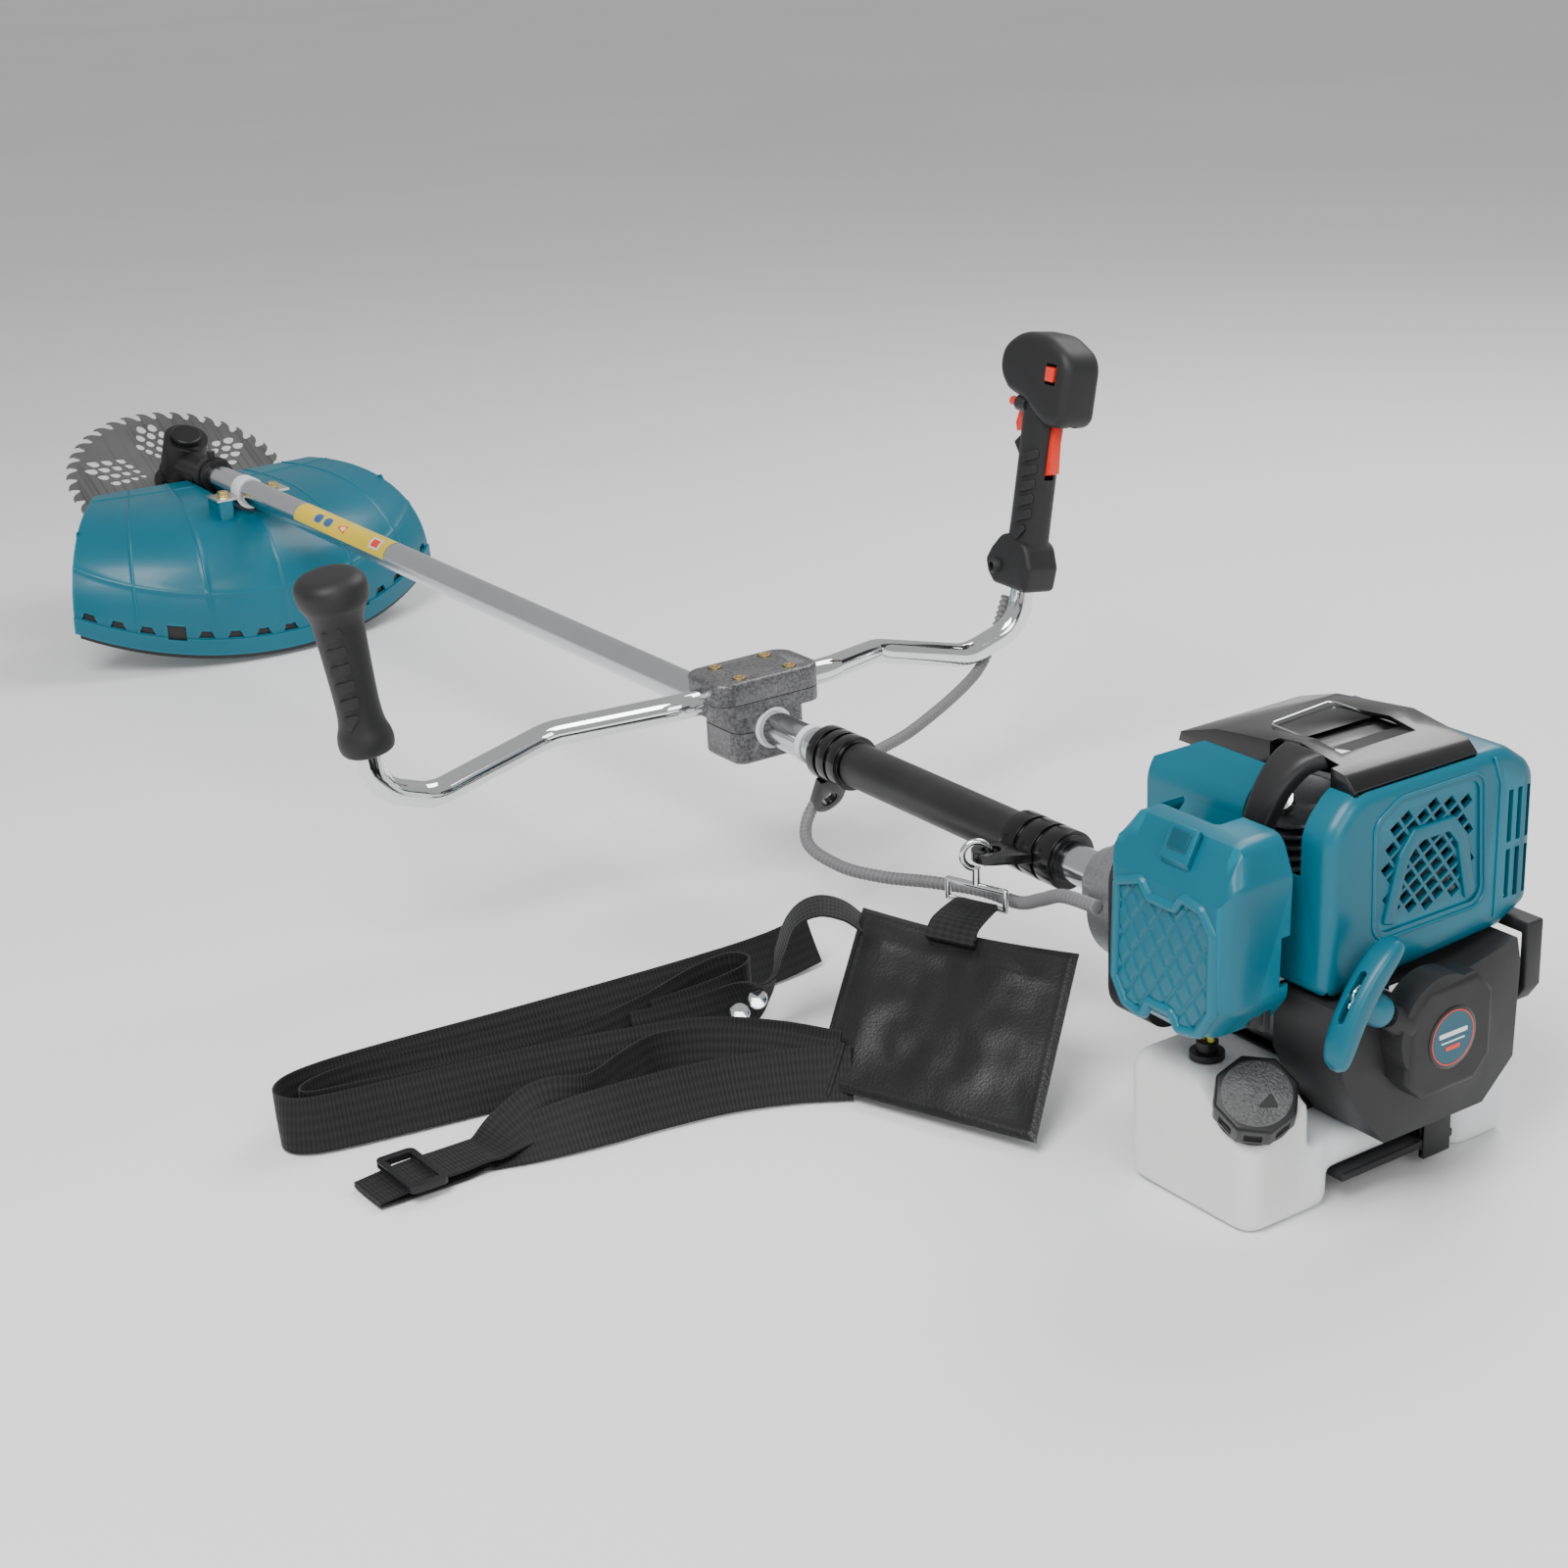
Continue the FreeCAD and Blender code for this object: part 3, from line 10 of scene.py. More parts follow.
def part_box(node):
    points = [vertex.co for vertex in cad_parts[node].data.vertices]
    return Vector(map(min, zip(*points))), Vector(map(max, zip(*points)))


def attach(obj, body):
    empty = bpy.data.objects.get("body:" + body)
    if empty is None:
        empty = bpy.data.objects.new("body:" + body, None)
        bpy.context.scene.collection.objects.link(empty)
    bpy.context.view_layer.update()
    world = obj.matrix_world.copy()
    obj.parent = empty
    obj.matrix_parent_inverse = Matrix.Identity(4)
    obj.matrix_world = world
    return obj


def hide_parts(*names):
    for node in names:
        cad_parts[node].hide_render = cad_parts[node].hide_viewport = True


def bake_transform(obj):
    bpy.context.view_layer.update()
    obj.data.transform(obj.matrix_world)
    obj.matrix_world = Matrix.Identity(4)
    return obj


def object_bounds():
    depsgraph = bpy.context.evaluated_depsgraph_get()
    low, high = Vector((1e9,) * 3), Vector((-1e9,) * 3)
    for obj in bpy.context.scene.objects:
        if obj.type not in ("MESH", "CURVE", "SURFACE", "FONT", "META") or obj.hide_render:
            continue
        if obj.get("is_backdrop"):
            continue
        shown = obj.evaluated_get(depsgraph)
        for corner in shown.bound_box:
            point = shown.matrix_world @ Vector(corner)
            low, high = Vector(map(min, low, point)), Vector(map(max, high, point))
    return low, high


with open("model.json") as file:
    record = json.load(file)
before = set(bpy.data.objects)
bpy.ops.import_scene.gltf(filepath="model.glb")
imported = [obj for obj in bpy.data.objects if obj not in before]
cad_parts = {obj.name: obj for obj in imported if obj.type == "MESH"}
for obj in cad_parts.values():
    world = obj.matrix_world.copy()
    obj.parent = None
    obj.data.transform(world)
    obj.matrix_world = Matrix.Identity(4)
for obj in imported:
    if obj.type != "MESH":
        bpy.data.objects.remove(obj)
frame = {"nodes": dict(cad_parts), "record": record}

CAD_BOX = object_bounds()

# ---------------------------------------------------------------- the shaft's own frame

JOINTS = {joint["name"]: joint for joint in frame["record"]["behaviour"]["joints"]}
SHAFT_AXIS = Vector(JOINTS["drive_spin"]["axis"])
SHAFT_ORIGIN = Vector(JOINTS["drive_spin"]["pos_m"])
SIDE_AXIS = Vector((0, 1, 0))
UP_AXIS = SHAFT_AXIS.cross(SIDE_AXIS)
MM = 0.001


def at(x, y, z):
    """A point given in millimetres along the shaft, to the left of it and above it."""
    return SHAFT_ORIGIN + (SHAFT_AXIS * x + SIDE_AXIS * y + UP_AXIS * z) * MM


def shaft_matrix():
    turn = Matrix((SHAFT_AXIS, SIDE_AXIS, UP_AXIS)).transposed().to_4x4()
    return Matrix.Translation(SHAFT_ORIGIN) @ turn @ Matrix.Scale(MM, 4)


SHAFT = shaft_matrix()


# ---------------------------------------------------------------- mesh tools

def new_object(name, mesh, material=None):
    obj = bpy.data.objects.new(name, mesh)
    bpy.context.scene.collection.objects.link(obj)
    if material is not None:
        obj.data.materials.append(material)
    return obj


def mesh_from(name, verts, faces, material=None, place=SHAFT):
    """Makes an object; its points are given in the millimetres of `place`."""
    mesh = bpy.data.meshes.new(name)
    mesh.from_pydata([place @ Vector(v) for v in verts], [], faces)
    bm = bmesh.new()
    bm.from_mesh(mesh)
    bmesh.ops.recalc_face_normals(bm, faces=bm.faces)
    bm.to_mesh(mesh)
    bm.free()
    mesh.update()
    return new_object(name, mesh, material)


def settle(obj):
    """Applies the modifiers of an object to its mesh."""
    depsgraph = bpy.context.evaluated_depsgraph_get()
    mesh = bpy.data.meshes.new_from_object(obj.evaluated_get(depsgraph))
    old = obj.data
    obj.modifiers.clear()
    obj.data = mesh
    bpy.data.meshes.remove(old)
    return obj


def shade(obj, angle=35.0):
    """Smooth shading that keeps edges sharper than the angle."""
    for polygon in obj.data.polygons:
        polygon.use_smooth = True
    obj.data.set_sharp_from_angle(angle=math.radians(angle))
    return obj


def bevelled(obj, width, segments=2, angle=40.0):
    bevel = obj.modifiers.new("bevel", "BEVEL")
    bevel.width = width * MM
    bevel.segments = segments
    bevel.limit_method = "ANGLE"
    bevel.angle_limit = math.radians(angle)
    bevel.harden_normals = False
    return obj


def softened(obj, width, segments, angle, smooth=40):
    """Rounds the edges for good, keeping the shading's sharp edges."""
    return settle(shade(bevelled(obj, width, segments, angle), smooth))


def cut_out(obj, cutters):
    """Cuts every cutter from the object and removes the cutters."""
    for cutter in cutters:
        modifier = obj.modifiers.new("cut", "BOOLEAN")
        modifier.operation = "DIFFERENCE"
        modifier.solver = "EXACT"
        modifier.object = cutter
    settle(obj)
    for cutter in cutters:
        bpy.data.objects.remove(cutter)
    return obj


def joined(name, objects):
    """Makes one object of several, keeping each one's material."""
    bm = bmesh.new()
    materials = []
    for obj in objects:
        start = len(bm.faces)
        bm.from_mesh(obj.data)
        bm.faces.ensure_lookup_table()
        slots = [slot.material for slot in obj.material_slots]
        for face in bm.faces[start:]:
            material = slots[face.material_index] if slots else None
            if material not in materials:
                materials.append(material)
            face.material_index = materials.index(material)
    mesh = bpy.data.meshes.new(name)
    bm.to_mesh(mesh)
    bm.free()
    for material in materials:
        mesh.materials.append(material)
    for obj in objects:
        bpy.data.objects.remove(obj)
    return new_object(name, mesh)


def rounded_outline(corners, radius, steps=5):
    """Replaces each corner of a closed flat outline by an arc."""
    points = []
    count = len(corners)
    for i, corner in enumerate(corners):
        here = Vector(corner[:2])
        reach = corner[2] if len(corner) > 2 else radius
        before = Vector(corners[i - 1][:2]) - here
        after = Vector(corners[(i + 1) % count][:2]) - here
        half = before.angle(after) / 2
        cut = min(reach / math.tan(half), before.length * 0.49, after.length * 0.49)
        arc_r = cut * math.tan(half)
        middle = (before.normalized() + after.normalized()).normalized()
        centre = here + middle * (arc_r / math.sin(half))
        start = here + before.normalized() * cut - centre
        end = here + after.normalized() * cut - centre
        for k in range(steps + 1):
            spoke = start.lerp(end, k / steps)
            points.append(centre + spoke.normalized() * arc_r)
    return points


def inset(points, distance):
    """Moves a closed counter-clockwise outline inward."""
    result = []
    count = len(points)
    for i in range(count):
        before = (points[i] - points[i - 1])
        after = (points[(i + 1) % count] - points[i])
        along = (before.normalized() + after.normalized())
        if along.length < 1e-6:
            along = after
        along.normalize()
        result.append(points[i] + Vector((-along.y, along.x)) * distance)
    return result


def counter_clockwise(points):
    area = sum(a.x * b.y - b.x * a.y for a, b in zip(points, points[1:] + points[:1]))
    return points if area > 0 else points[::-1]


PLANES = {
    "x": lambda a, b, depth: (depth, a, b),
    "y": lambda a, b, depth: (a, depth, b),
    "z": lambda a, b, depth: (a, b, depth),
}


def loft(name, rings, material=None, place=SHAFT, closed=True, capped=True):
    """Skins a list of rings with equal point counts."""
    count = len(rings[0])
    verts = [tuple(point) for ring in rings for point in ring]
    faces = []
    for level in range(len(rings) - 1):
        for i in range(count if closed else count - 1):
            j = (i + 1) % count
            low = level * count
            high = low + count
            faces.append((low + i, low + j, high + j, high + i))
    if capped:
        faces.append(tuple(range(count)))
        faces.append(tuple((len(rings) - 1) * count + i for i in range(count)))
    return mesh_from(name, verts, faces, material, place)


def pillow_slab(name, corners, plane, start, end, radius, edge=(0, 0), material=None, steps=5, place=SHAFT):
    """An extruded outline with rounded corners and with rounded edges at its two faces.

    edge gives the rounding at the start face and at the end face."""
    outline = counter_clockwise(rounded_outline(corners, radius, steps))
    direction = 1 if end > start else -1
    levels = edge_levels(start, direction, edge[0]) + edge_levels(end, -direction, edge[1])[::-1]
    rings = [[PLANES[plane](p.x, p.y, depth) for p in inset(outline, shrink)] for depth, shrink in levels]
    return loft(name, rings, material, place)


def edge_levels(face, inward, radius, turns=4):
    """Depth and inset of each step of a quarter round, starting at the face."""
    if not radius:
        return [(face, 0)]
    angles = [math.pi / 2 * k / turns for k in range(turns + 1)]
    return [(face + inward * radius * (1 - math.cos(a)), radius * (1 - math.sin(a))) for a in angles]


def block(name, x_span, y_span, z_span, radius=0.0, edge=0.0, material=None, place=SHAFT):
    corners = rectangle(x_span, y_span)
    return pillow_slab(name, corners, "z", *z_span, radius or 0.01, (edge, edge), material, 3, place)


def rectangle(x_span, y_span):
    return [(x_span[0], y_span[0]), (x_span[1], y_span[0]), (x_span[1], y_span[1]), (x_span[0], y_span[1])]


def frames_along(points, closed=False):
    """Directions that follow a line without twisting: tangent, side and up at each point."""
    count = len(points)
    tangents = []
    for i in range(count):
        if closed:
            before, after = points[i - 1], points[(i + 1) % count]
        else:
            before, after = points[max(i - 1, 0)], points[min(i + 1, count - 1)]
        tangents.append((after - before).normalized())
    side = tangents[0].orthogonal().normalized()
    frames = []
    for i, tangent in enumerate(tangents):
        if i:
            turn = tangents[i - 1].rotation_difference(tangent)
            side = turn @ side
        side = (side - tangent * side.dot(tangent)).normalized()
        frames.append((tangent, side, tangent.cross(side)))
    return frames


def smooth_rows(rows, steps):
    """Fills in between rows of numbers along Catmull-Rom curves."""
    result = []
    for i in range(len(rows) - 1):
        around = rows[max(i - 1, 0)], rows[i], rows[i + 1], rows[min(i + 2, len(rows) - 1)]
        for k in range(steps):
            t = k / steps
            result.append([0.5 * (2 * b + (c - a) * t + (2 * a - 5 * b + 4 * c - d) * t * t
                                  + (3 * b - 3 * c + d - a) * t ** 3) for a, b, c, d in zip(*around)])
    result.append(list(rows[-1]))
    return result


def smooth_line(points, steps):
    return [Vector(row) for row in smooth_rows(points, steps)]


def circle(count, turn=0.0):
    """Evenly spaced angles, all round."""
    return [math.tau * (k + turn) / count for k in range(count)]


def squarish(angle, power):
    """Cosine and sine, swollen towards a square."""
    c, s = math.cos(angle), math.sin(angle)
    return math.copysign(abs(c) ** power, c), math.copysign(abs(s) ** power, s)


def grid_faces(rows, columns):
    """The faces of a sheet whose points come row by row, with columns + 1 in each."""
    faces = []
    for j in range(rows):
        for i in range(columns):
            a = j * (columns + 1) + i
            faces.append((a, a + 1, a + columns + 2, a + columns + 1))
    return faces


def thicken(obj, thickness, offset):
    """Gives a sheet its thickness."""
    solid = obj.modifiers.new("thickness", "SOLIDIFY")
    solid.thickness = thickness * MM
    solid.offset = offset
    return settle(obj)


def hand_over(obj, body, slot, *nodes):
    """Rides a finished piece on its body and hides the CAD nodes that it stands for; slot is not used."""
    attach(obj, body)
    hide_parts(*nodes)


def sweep(name, line, radius, material=None, sides=16, place=SHAFT, closed=False):
    """A round bar along a line; radius is a number or a function of the place in the line."""
    rings = []
    for i, (_, side, up) in enumerate(frames_along(line, closed)):
        r = radius(i) if callable(radius) else radius
        rings.append([line[i] + side * (r * math.cos(a)) + up * (r * math.sin(a)) for a in circle(sides)])
    if closed:
        rings.append(rings[0])
    return loft(name, rings, material, place, capped=not closed)


def turned_profile(name, profile, centre, axis, material=None, sides=48, place=SHAFT):
    """A body of revolution: profile is a list of (distance along the axis, radius)."""
    axis = Vector(axis).normalized()
    side = axis.orthogonal().normalized()
    up = axis.cross(side)
    centre = Vector(centre)
    rings = [[centre + axis * along + (side * math.cos(a) + up * math.sin(a)) * max(radius, 0.01)
              for a in circle(sides)] for along, radius in profile]
    return loft(name, rings, material, place)


# ---------------------------------------------------------------- materials

class Nodes:
    """A short way to wire a material's nodes."""

    def __init__(self, name):
        self.material = bpy.data.materials.new(name)
        self.material.use_nodes = True
        self.tree = self.material.node_tree
        self.surface = self.tree.nodes["Principled BSDF"]
        self.coords = self.tree.nodes.new("ShaderNodeTexCoord")

    def add(self, kind, **inputs):
        node = self.tree.nodes.new(kind)
        for key, value in inputs.items():
            if hasattr(node, key):
                setattr(node, key, value)
            else:
                node.inputs[key.replace("_", " ")].default_value = value
        return node

    def wire(self, source, target):
        self.tree.links.new(source, target)

    def put(self, **values):
        for key, value in values.items():
            self.surface.inputs[key.replace("_", " ")].default_value = value

    def mapped(self, scale, space="Object"):
        mapping = self.add("ShaderNodeMapping")
        mapping.inputs["Scale"].default_value = scale
        self.wire(self.coords.outputs[space], mapping.inputs["Vector"])
        return mapping.outputs["Vector"]

    def noise(self, scale, detail=3.0, vector=None):
        node = self.add("ShaderNodeTexNoise", Scale=scale, Detail=detail)
        self.wire(vector or self.coords.outputs["Object"], node.inputs["Vector"])
        return node.outputs["Fac"]

    def cells(self, scale, feature):
        node = self.add("ShaderNodeTexVoronoi", Scale=scale)
        node.feature = feature
        self.wire(self.coords.outputs["Object"], node.inputs["Vector"])
        return node.outputs["Distance"]

    def bands(self, scale, direction):
        """Waves across the piece's own UVs."""
        node = self.add("ShaderNodeTexWave", Scale=1.0)
        node.bands_direction = direction
        self.wire(self.mapped(scale, "UV"), node.inputs["Vector"])
        return node.outputs["Fac"]

    def ramp(self, value, stops):
        node = self.add("ShaderNodeValToRGB")
        ramp = node.color_ramp
        for element, (position, color) in zip(ramp.elements, stops):
            element.position, element.color = position, (*color, 1)
        self.wire(value, node.inputs["Fac"])
        return node.outputs["Color"]

    def spread(self, value, low, high, from_low=0.0, from_high=1.0):
        node = self.add("ShaderNodeMapRange")
        limits = {"From Min": from_low, "From Max": from_high, "To Min": low, "To Max": high}
        for key, number in limits.items():
            node.inputs[key].default_value = number
        self.wire(value, node.inputs["Value"])
        return node.outputs["Result"]

    def paint(self, value, *stops):
        """The base colour, from a ramp."""
        self.wire(self.ramp(value, stops), self.surface.inputs["Base Color"])

    def dull(self, value, low, high, *span):
        """The roughness, spread between two limits."""
        self.wire(self.spread(value, low, high, *span), self.surface.inputs["Roughness"])

    def sum(self, first, second, share=0.5):
        node = self.add("ShaderNodeMix", data_type="FLOAT")
        node.inputs["Factor"].default_value = share
        self.wire(first, node.inputs["A"])
        self.wire(second, node.inputs["B"])
        return node.outputs["Result"]

    def bump(self, height, strength, distance=0.0005):
        node = self.add("ShaderNodeBump", Strength=strength, Distance=distance)
        self.wire(height, node.inputs["Height"])
        self.wire(node.outputs["Normal"], self.surface.inputs["Normal"])

    def edge_highlight(self, color, highlight_color, amount=0.5):
        """Lightens the colour where the surface bends sharply: a painted highlight along the edges."""
        geometry = self.add("ShaderNodeNewGeometry")
        highlight_mask = self.spread(geometry.outputs["Pointiness"], 0.0, amount, 0.52, 0.60)
        mix = self.add("ShaderNodeMix", data_type="RGBA")
        self.wire(highlight_mask, mix.inputs["Factor"])
        self.wire(color, mix.inputs["A"])
        # The lighter edge colour is a painted highlight.
        mix.inputs["B"].default_value = (*highlight_color, 1)
        self.wire(mix.outputs["Result"], self.surface.inputs["Base Color"])


def moulded(name, color, roughness, grain=900.0, grain_strength=0.05, coat=0.0, variation=0.12, highlight_color=None):
    """Injection-moulded plastic: faint colour drift, flow marks in the gloss, a fine grain and a painted
    highlight on its edges.
    """
    n = Nodes(name)
    drift = n.noise(6.0, 3.0)
    dark = tuple(c * (1 - variation) for c in color)
    light = tuple(min(1.0, c * (1 + variation)) for c in color)
    base = n.ramp(drift, [(0.3, dark), (0.7, light)])
    # Painted highlight: the edges are lightened.
    n.edge_highlight(base, highlight_color or tuple(min(1.0, c * 1.5 + 0.01) for c in color), 0.45)
    marks = n.noise(40.0, 4.0)
    n.dull(marks, roughness * 0.8, roughness * 1.25)
    n.put(Coat_Weight=coat, Coat_Roughness=0.08, Specular_IOR_Level=0.38)
    n.bump(n.sum(n.noise(grain, 2.0), n.noise(25.0, 1.0), 0.35), grain_strength, 0.0004)
    return n.material


def polished_metal(name, color, roughness, scratch=(4, 900, 900), bump=0.02):
    """Drawn or brushed metal: fine lines in one direction, with uneven polish."""
    n = Nodes(name)
    lines = n.noise(1.0, 3.0, n.mapped(scratch))
    cloud = n.noise(9.0, 3.0)
    n.paint(cloud, (0.3, tuple(c * 0.94 for c in color)), (0.7, color))
    n.dull(n.sum(lines, cloud), roughness * 0.7, roughness * 1.5, 0.3, 0.7)
    n.put(Metallic=1.0)
    n.bump(lines, bump, 0.0002)
    return n.material


def hammered_paint():
    """Grey hammer paint: small shallow dimples with bright rims."""
    n = Nodes("hammered_grey")
    cells = n.cells(420.0, "SMOOTH_F1")
    speckle = n.noise(900.0, 2.0)
    base = n.ramp(n.sum(cells, speckle), [(0.25, (0.045, 0.045, 0.047)), (0.6, (0.17, 0.17, 0.175))])
    # Painted highlight: the edges are lightened.
    n.edge_highlight(base, (0.32, 0.32, 0.33))
    n.dull(speckle, 0.28, 0.5)
    n.put(Metallic=0.55)
    n.bump(n.sum(cells, speckle, 0.4), 0.55, 0.0006)
    return n.material


def cast_metal(name, color, roughness, metallic=0.9):
    """Bare or painted casting: a fine pebbly skin."""
    n = Nodes(name)
    grain = n.noise(500.0, 4.0)
    dark = tuple(c * 0.75 for c in color)
    # Painted highlight: the edges are lightened.
    n.edge_highlight(n.ramp(grain, [(0.3, dark), (0.7, color)]), tuple(min(1, c * 1.6 + 0.02) for c in color))
    n.dull(n.noise(60.0, 3.0), roughness * 0.8, roughness * 1.2)
    n.put(Metallic=metallic)
    n.bump(grain, 0.25, 0.0005)
    return n.material


def smooth_rubber():
    """Soft black rubber with a cloudy bloom on it."""
    n = Nodes("smooth_rubber")
    n.paint(n.noise(12.0, 4.0), (0.35, (0.006, 0.006, 0.0065)), (0.75, (0.0172, 0.0172, 0.0183)))
    n.dull(n.noise(70.0, 4.0), 0.336, 0.525)
    n.bump(n.noise(1400.0, 2.0), 0.08, 0.0003)
    return n.material


def milky_plastic():
    """The blow-moulded tank: milky, slightly see-through, faintly orange-peeled."""
    n = Nodes("milky_plastic")
    cloud = n.noise(14.0, 3.0)
    n.paint(cloud, (0.3, (0.74, 0.76, 0.78)), (0.7, (0.86, 0.87, 0.88)))
    n.dull(n.noise(50.0, 3.0), 0.32, 0.48)
    n.put(Subsurface_Weight=0.6, Subsurface_Scale=0.02, Specular_IOR_Level=0.4)
    n.surface.inputs["Subsurface Radius"].default_value = (0.8, 0.9, 1.0)
    n.bump(n.sum(n.noise(260.0, 2.0), n.noise(30.0, 1.0)), 0.10, 0.0006)
    return n.material


def grained_leather():
    """Soft black leather: pebble cells, creases and a low sheen."""
    n = Nodes("grained_leather")
    pebbles = n.cells(520.0, "F1")
    folds = n.noise(22.0, 5.0)
    fine = n.noise(1500.0, 2.0)
    base = n.ramp(folds, [(0.3, (0.003, 0.003, 0.0035)), (0.75, (0.007, 0.007, 0.008))])
    # Painted sheen highlight: the edges are lightened.
    n.edge_highlight(base, (0.02, 0.02, 0.021))
    n.dull(n.sum(pebbles, folds, 0.3), 0.36, 0.46, 0.2, 0.7)
    n.put(Specular_IOR_Level=0.4, Sheen_Weight=0.03)
    n.bump(n.sum(n.sum(pebbles, fine, 0.3), folds, 0.35), 0.5, 0.0007)
    return n.material


def ribbed_webbing():
    """Woven nylon: cross ribs with a twill in them, by the strap's own UVs."""
    n = Nodes("ribbed_webbing")
    weave = n.sum(n.bands((110, 1, 1), "X"), n.bands((1, 46, 1), "Y"), 0.4)
    n.paint(weave, (0.2, (0.002, 0.002, 0.002)), (0.8, (0.010, 0.010, 0.011)))
    n.put(Roughness=0.7, Sheen_Weight=0.05, Sheen_Roughness=0.4, Specular_IOR_Level=0.35)
    n.bump(weave, 0.8, 0.0006)
    return n.material


def blade_metal():
    """Gunmetal sheet, turned in fine circles, with a bright sweep across it and a painted highlight on its
    edges.
    """
    n = Nodes("blade_metal")
    cloud = n.noise(10.0, 4.0)
    fine = n.noise(700.0, 3.0)
    # Painted highlight: the tooth and hole edges are lightened.
    n.edge_highlight(n.ramp(cloud, [(0.3, (0.04, 0.04, 0.042)), (0.7, (0.13, 0.13, 0.137))]), (0.5, 0.5, 0.5), 0.4)
    n.dull(n.sum(cloud, fine), 0.24, 0.42, 0.3, 0.7)
    n.put(Metallic=1.0)
    n.bump(fine, 0.05, 0.0002)
    return n.material


def cap_plastic():
    """The fuel cap's top: a coarse spark-eroded texture."""
    n = Nodes("cap_plastic")
    grit = n.noise(620.0, 3.0)
    base = n.ramp(grit, [(0.35, (0.012, 0.012, 0.013)), (0.7, (0.07, 0.07, 0.072))])
    # Painted highlight: the edges are lightened.
    n.edge_highlight(base, (0.12, 0.12, 0.12), 0.4)
    n.dull(grit, 0.25, 0.55)
    n.bump(grit, 0.8, 0.0012)
    return n.material


# The teal's last colour is the light cyan of its painted edge highlight.
TEAL = moulded("teal_plastic", (0.0, 0.112, 0.168), 0.34, 1100, 0.04, 0.06, 0.10, (0.0, 0.20, 0.29))
# A darker teal: the badge face's print colour, and painted shade on the cover tab's step.
TEAL_DARK = moulded("teal_print_and_painted_shade", (0.0, 0.065, 0.10), 0.36, coat=0.1)
DARK = moulded("dark_plastic", (0.014, 0.014, 0.015), 0.50, 1500, 0.22)
BLACK = moulded("black_plastic", (0.005, 0.005, 0.006), 0.40, 1300, 0.12)
GLOSS = moulded("black_gloss", (0.003, 0.003, 0.0035), 0.22, 200, 0.01, 0.25)
RED = moulded("red_plastic", (0.80, 0.022, 0.006), 0.34, 900, 0.05, 0.2)
WHITE = moulded("white_nylon", (0.72, 0.73, 0.74), 0.35, 700)
YELLOW = moulded("yellow_label", (0.72, 0.52, 0.01), 0.35, 600, 0.02, 0.4)
LABEL_BLUE = moulded("label_blue", (0.01, 0.10, 0.30), 0.35, 600, 0.02, 0.4)
LABEL_WHITE = moulded("label_white", (0.70, 0.70, 0.68), 0.35, 600, 0.02, 0.4)
HOSE = moulded("hose_grey", (0.16, 0.16, 0.165), 0.45, 900, 0.1)
FUEL = moulded("fuel_hose", (0.50, 0.45, 0.06), 0.25, 300, coat=0.3)
TUBE = polished_metal("polished_tube", (0.66, 0.67, 0.69), 0.16)
BRIGHT = polished_metal("bright_chrome", (0.80, 0.81, 0.82), 0.07, scratch=(300, 300, 300), bump=0.01)
STEEL = polished_metal("machined_steel", (0.42, 0.43, 0.45), 0.28, scratch=(200, 200, 900))
ZINC = polished_metal("zinc_plate", (0.66, 0.66, 0.64), 0.26, scratch=(120, 120, 120))
GOLD_ZINC = polished_metal("yellow_zinc", (0.66, 0.50, 0.20), 0.26, scratch=(120, 120, 120))
HAMMERED = hammered_paint()
CASTING = cast_metal("bare_casting", (0.36, 0.37, 0.38), 0.46)
BLACK_CASTING = cast_metal("black_casting", (0.016, 0.016, 0.017), 0.34, 0.35)
RUBBER = smooth_rubber()
MILKY = milky_plastic()
LEATHER = grained_leather()
WEBBING = ribbed_webbing()
BLADE = blade_metal()
CAP = cap_plastic()


# ---------------------------------------------------------------- CAD nodes that stay visible

# Each material with its nodes, and how far each node's edges are rounded in millimetres.
NODE_FINISH = (
    (TUBE, {"shaft_tube": 0}),
    (BLACK, {"shaft_bushes": 0, "engine_base": 1.2, "choke_lever": 0.6, "strap_slider": 0.8}),
    (RUBBER, {"shaft_sleeve": 0.8}),
    (WHITE, {"tube_collars": 0.4}),
    (GLOSS, {"harness_loops": 1.2, "top_cover": 2.5}),
    (BLACK_CASTING, {"gear_case": 1.6, "muffler": 1.5, "blade_fixings": 0.6}),
    (STEEL, {"bearings": 0, "crankshaft": 0, "clutch_shoes": 0, "spindle": 0, "bevel_gear": 0,
             "drive_shaft": 0, "clutch_drum": 0, "bevel_pinion": 0}),
    (ZINC, {"guard_bracket": 0.8, "spark_plug": 0, "throttle_arm": 0}),
    (GOLD_ZINC, {"bolts_and_screws": 0.4}),
    (BRIGHT, {"handlebar_tube": 0, "snap_hook": 0, "hook_gate": 0}),
    (HAMMERED, {"handlebar_clamp": 1.8}),
    (CASTING, {"clutch_housing": 1.5, "crankcase": 1.0, "cylinder": 0.3, "carburettor": 0.8,
               "flywheel": 0, "piston": 0}),
    (DARK, {"fan_housing": 1.5, "air_filter_case": 1.2, "side_guard": 1.5, "starter_cover": 3.0,
            "starter_pulley": 0}),
    (MILKY, {"fuel_tank": 0}),
    (RED, {"throttle_trigger": 1.5, "throttle_lockout": 1.5, "lock_button": 0.8, "stop_switch": 0.8}),
)


def finish_nodes():
    """Paints the carried-over nodes and rounds the edges that a hand would find."""
    for material, edges in NODE_FINISH:
        for name, radius in edges.items():
            node = frame["nodes"][name]
            node.data.materials.clear()
            node.data.materials.append(material)
            shade(node, 35)
            if radius:
                node.modifiers.new("weld", "WELD").merge_threshold = 0.01 * MM
                flat = node.modifiers.new("flat_faces", "DECIMATE")
                flat.decimate_type = "DISSOLVE"
                flat.angle_limit = math.radians(1.0)
                bevelled(node, radius, 3, 38)


finish_nodes()


# ---------------------------------------------------------------- cutting head

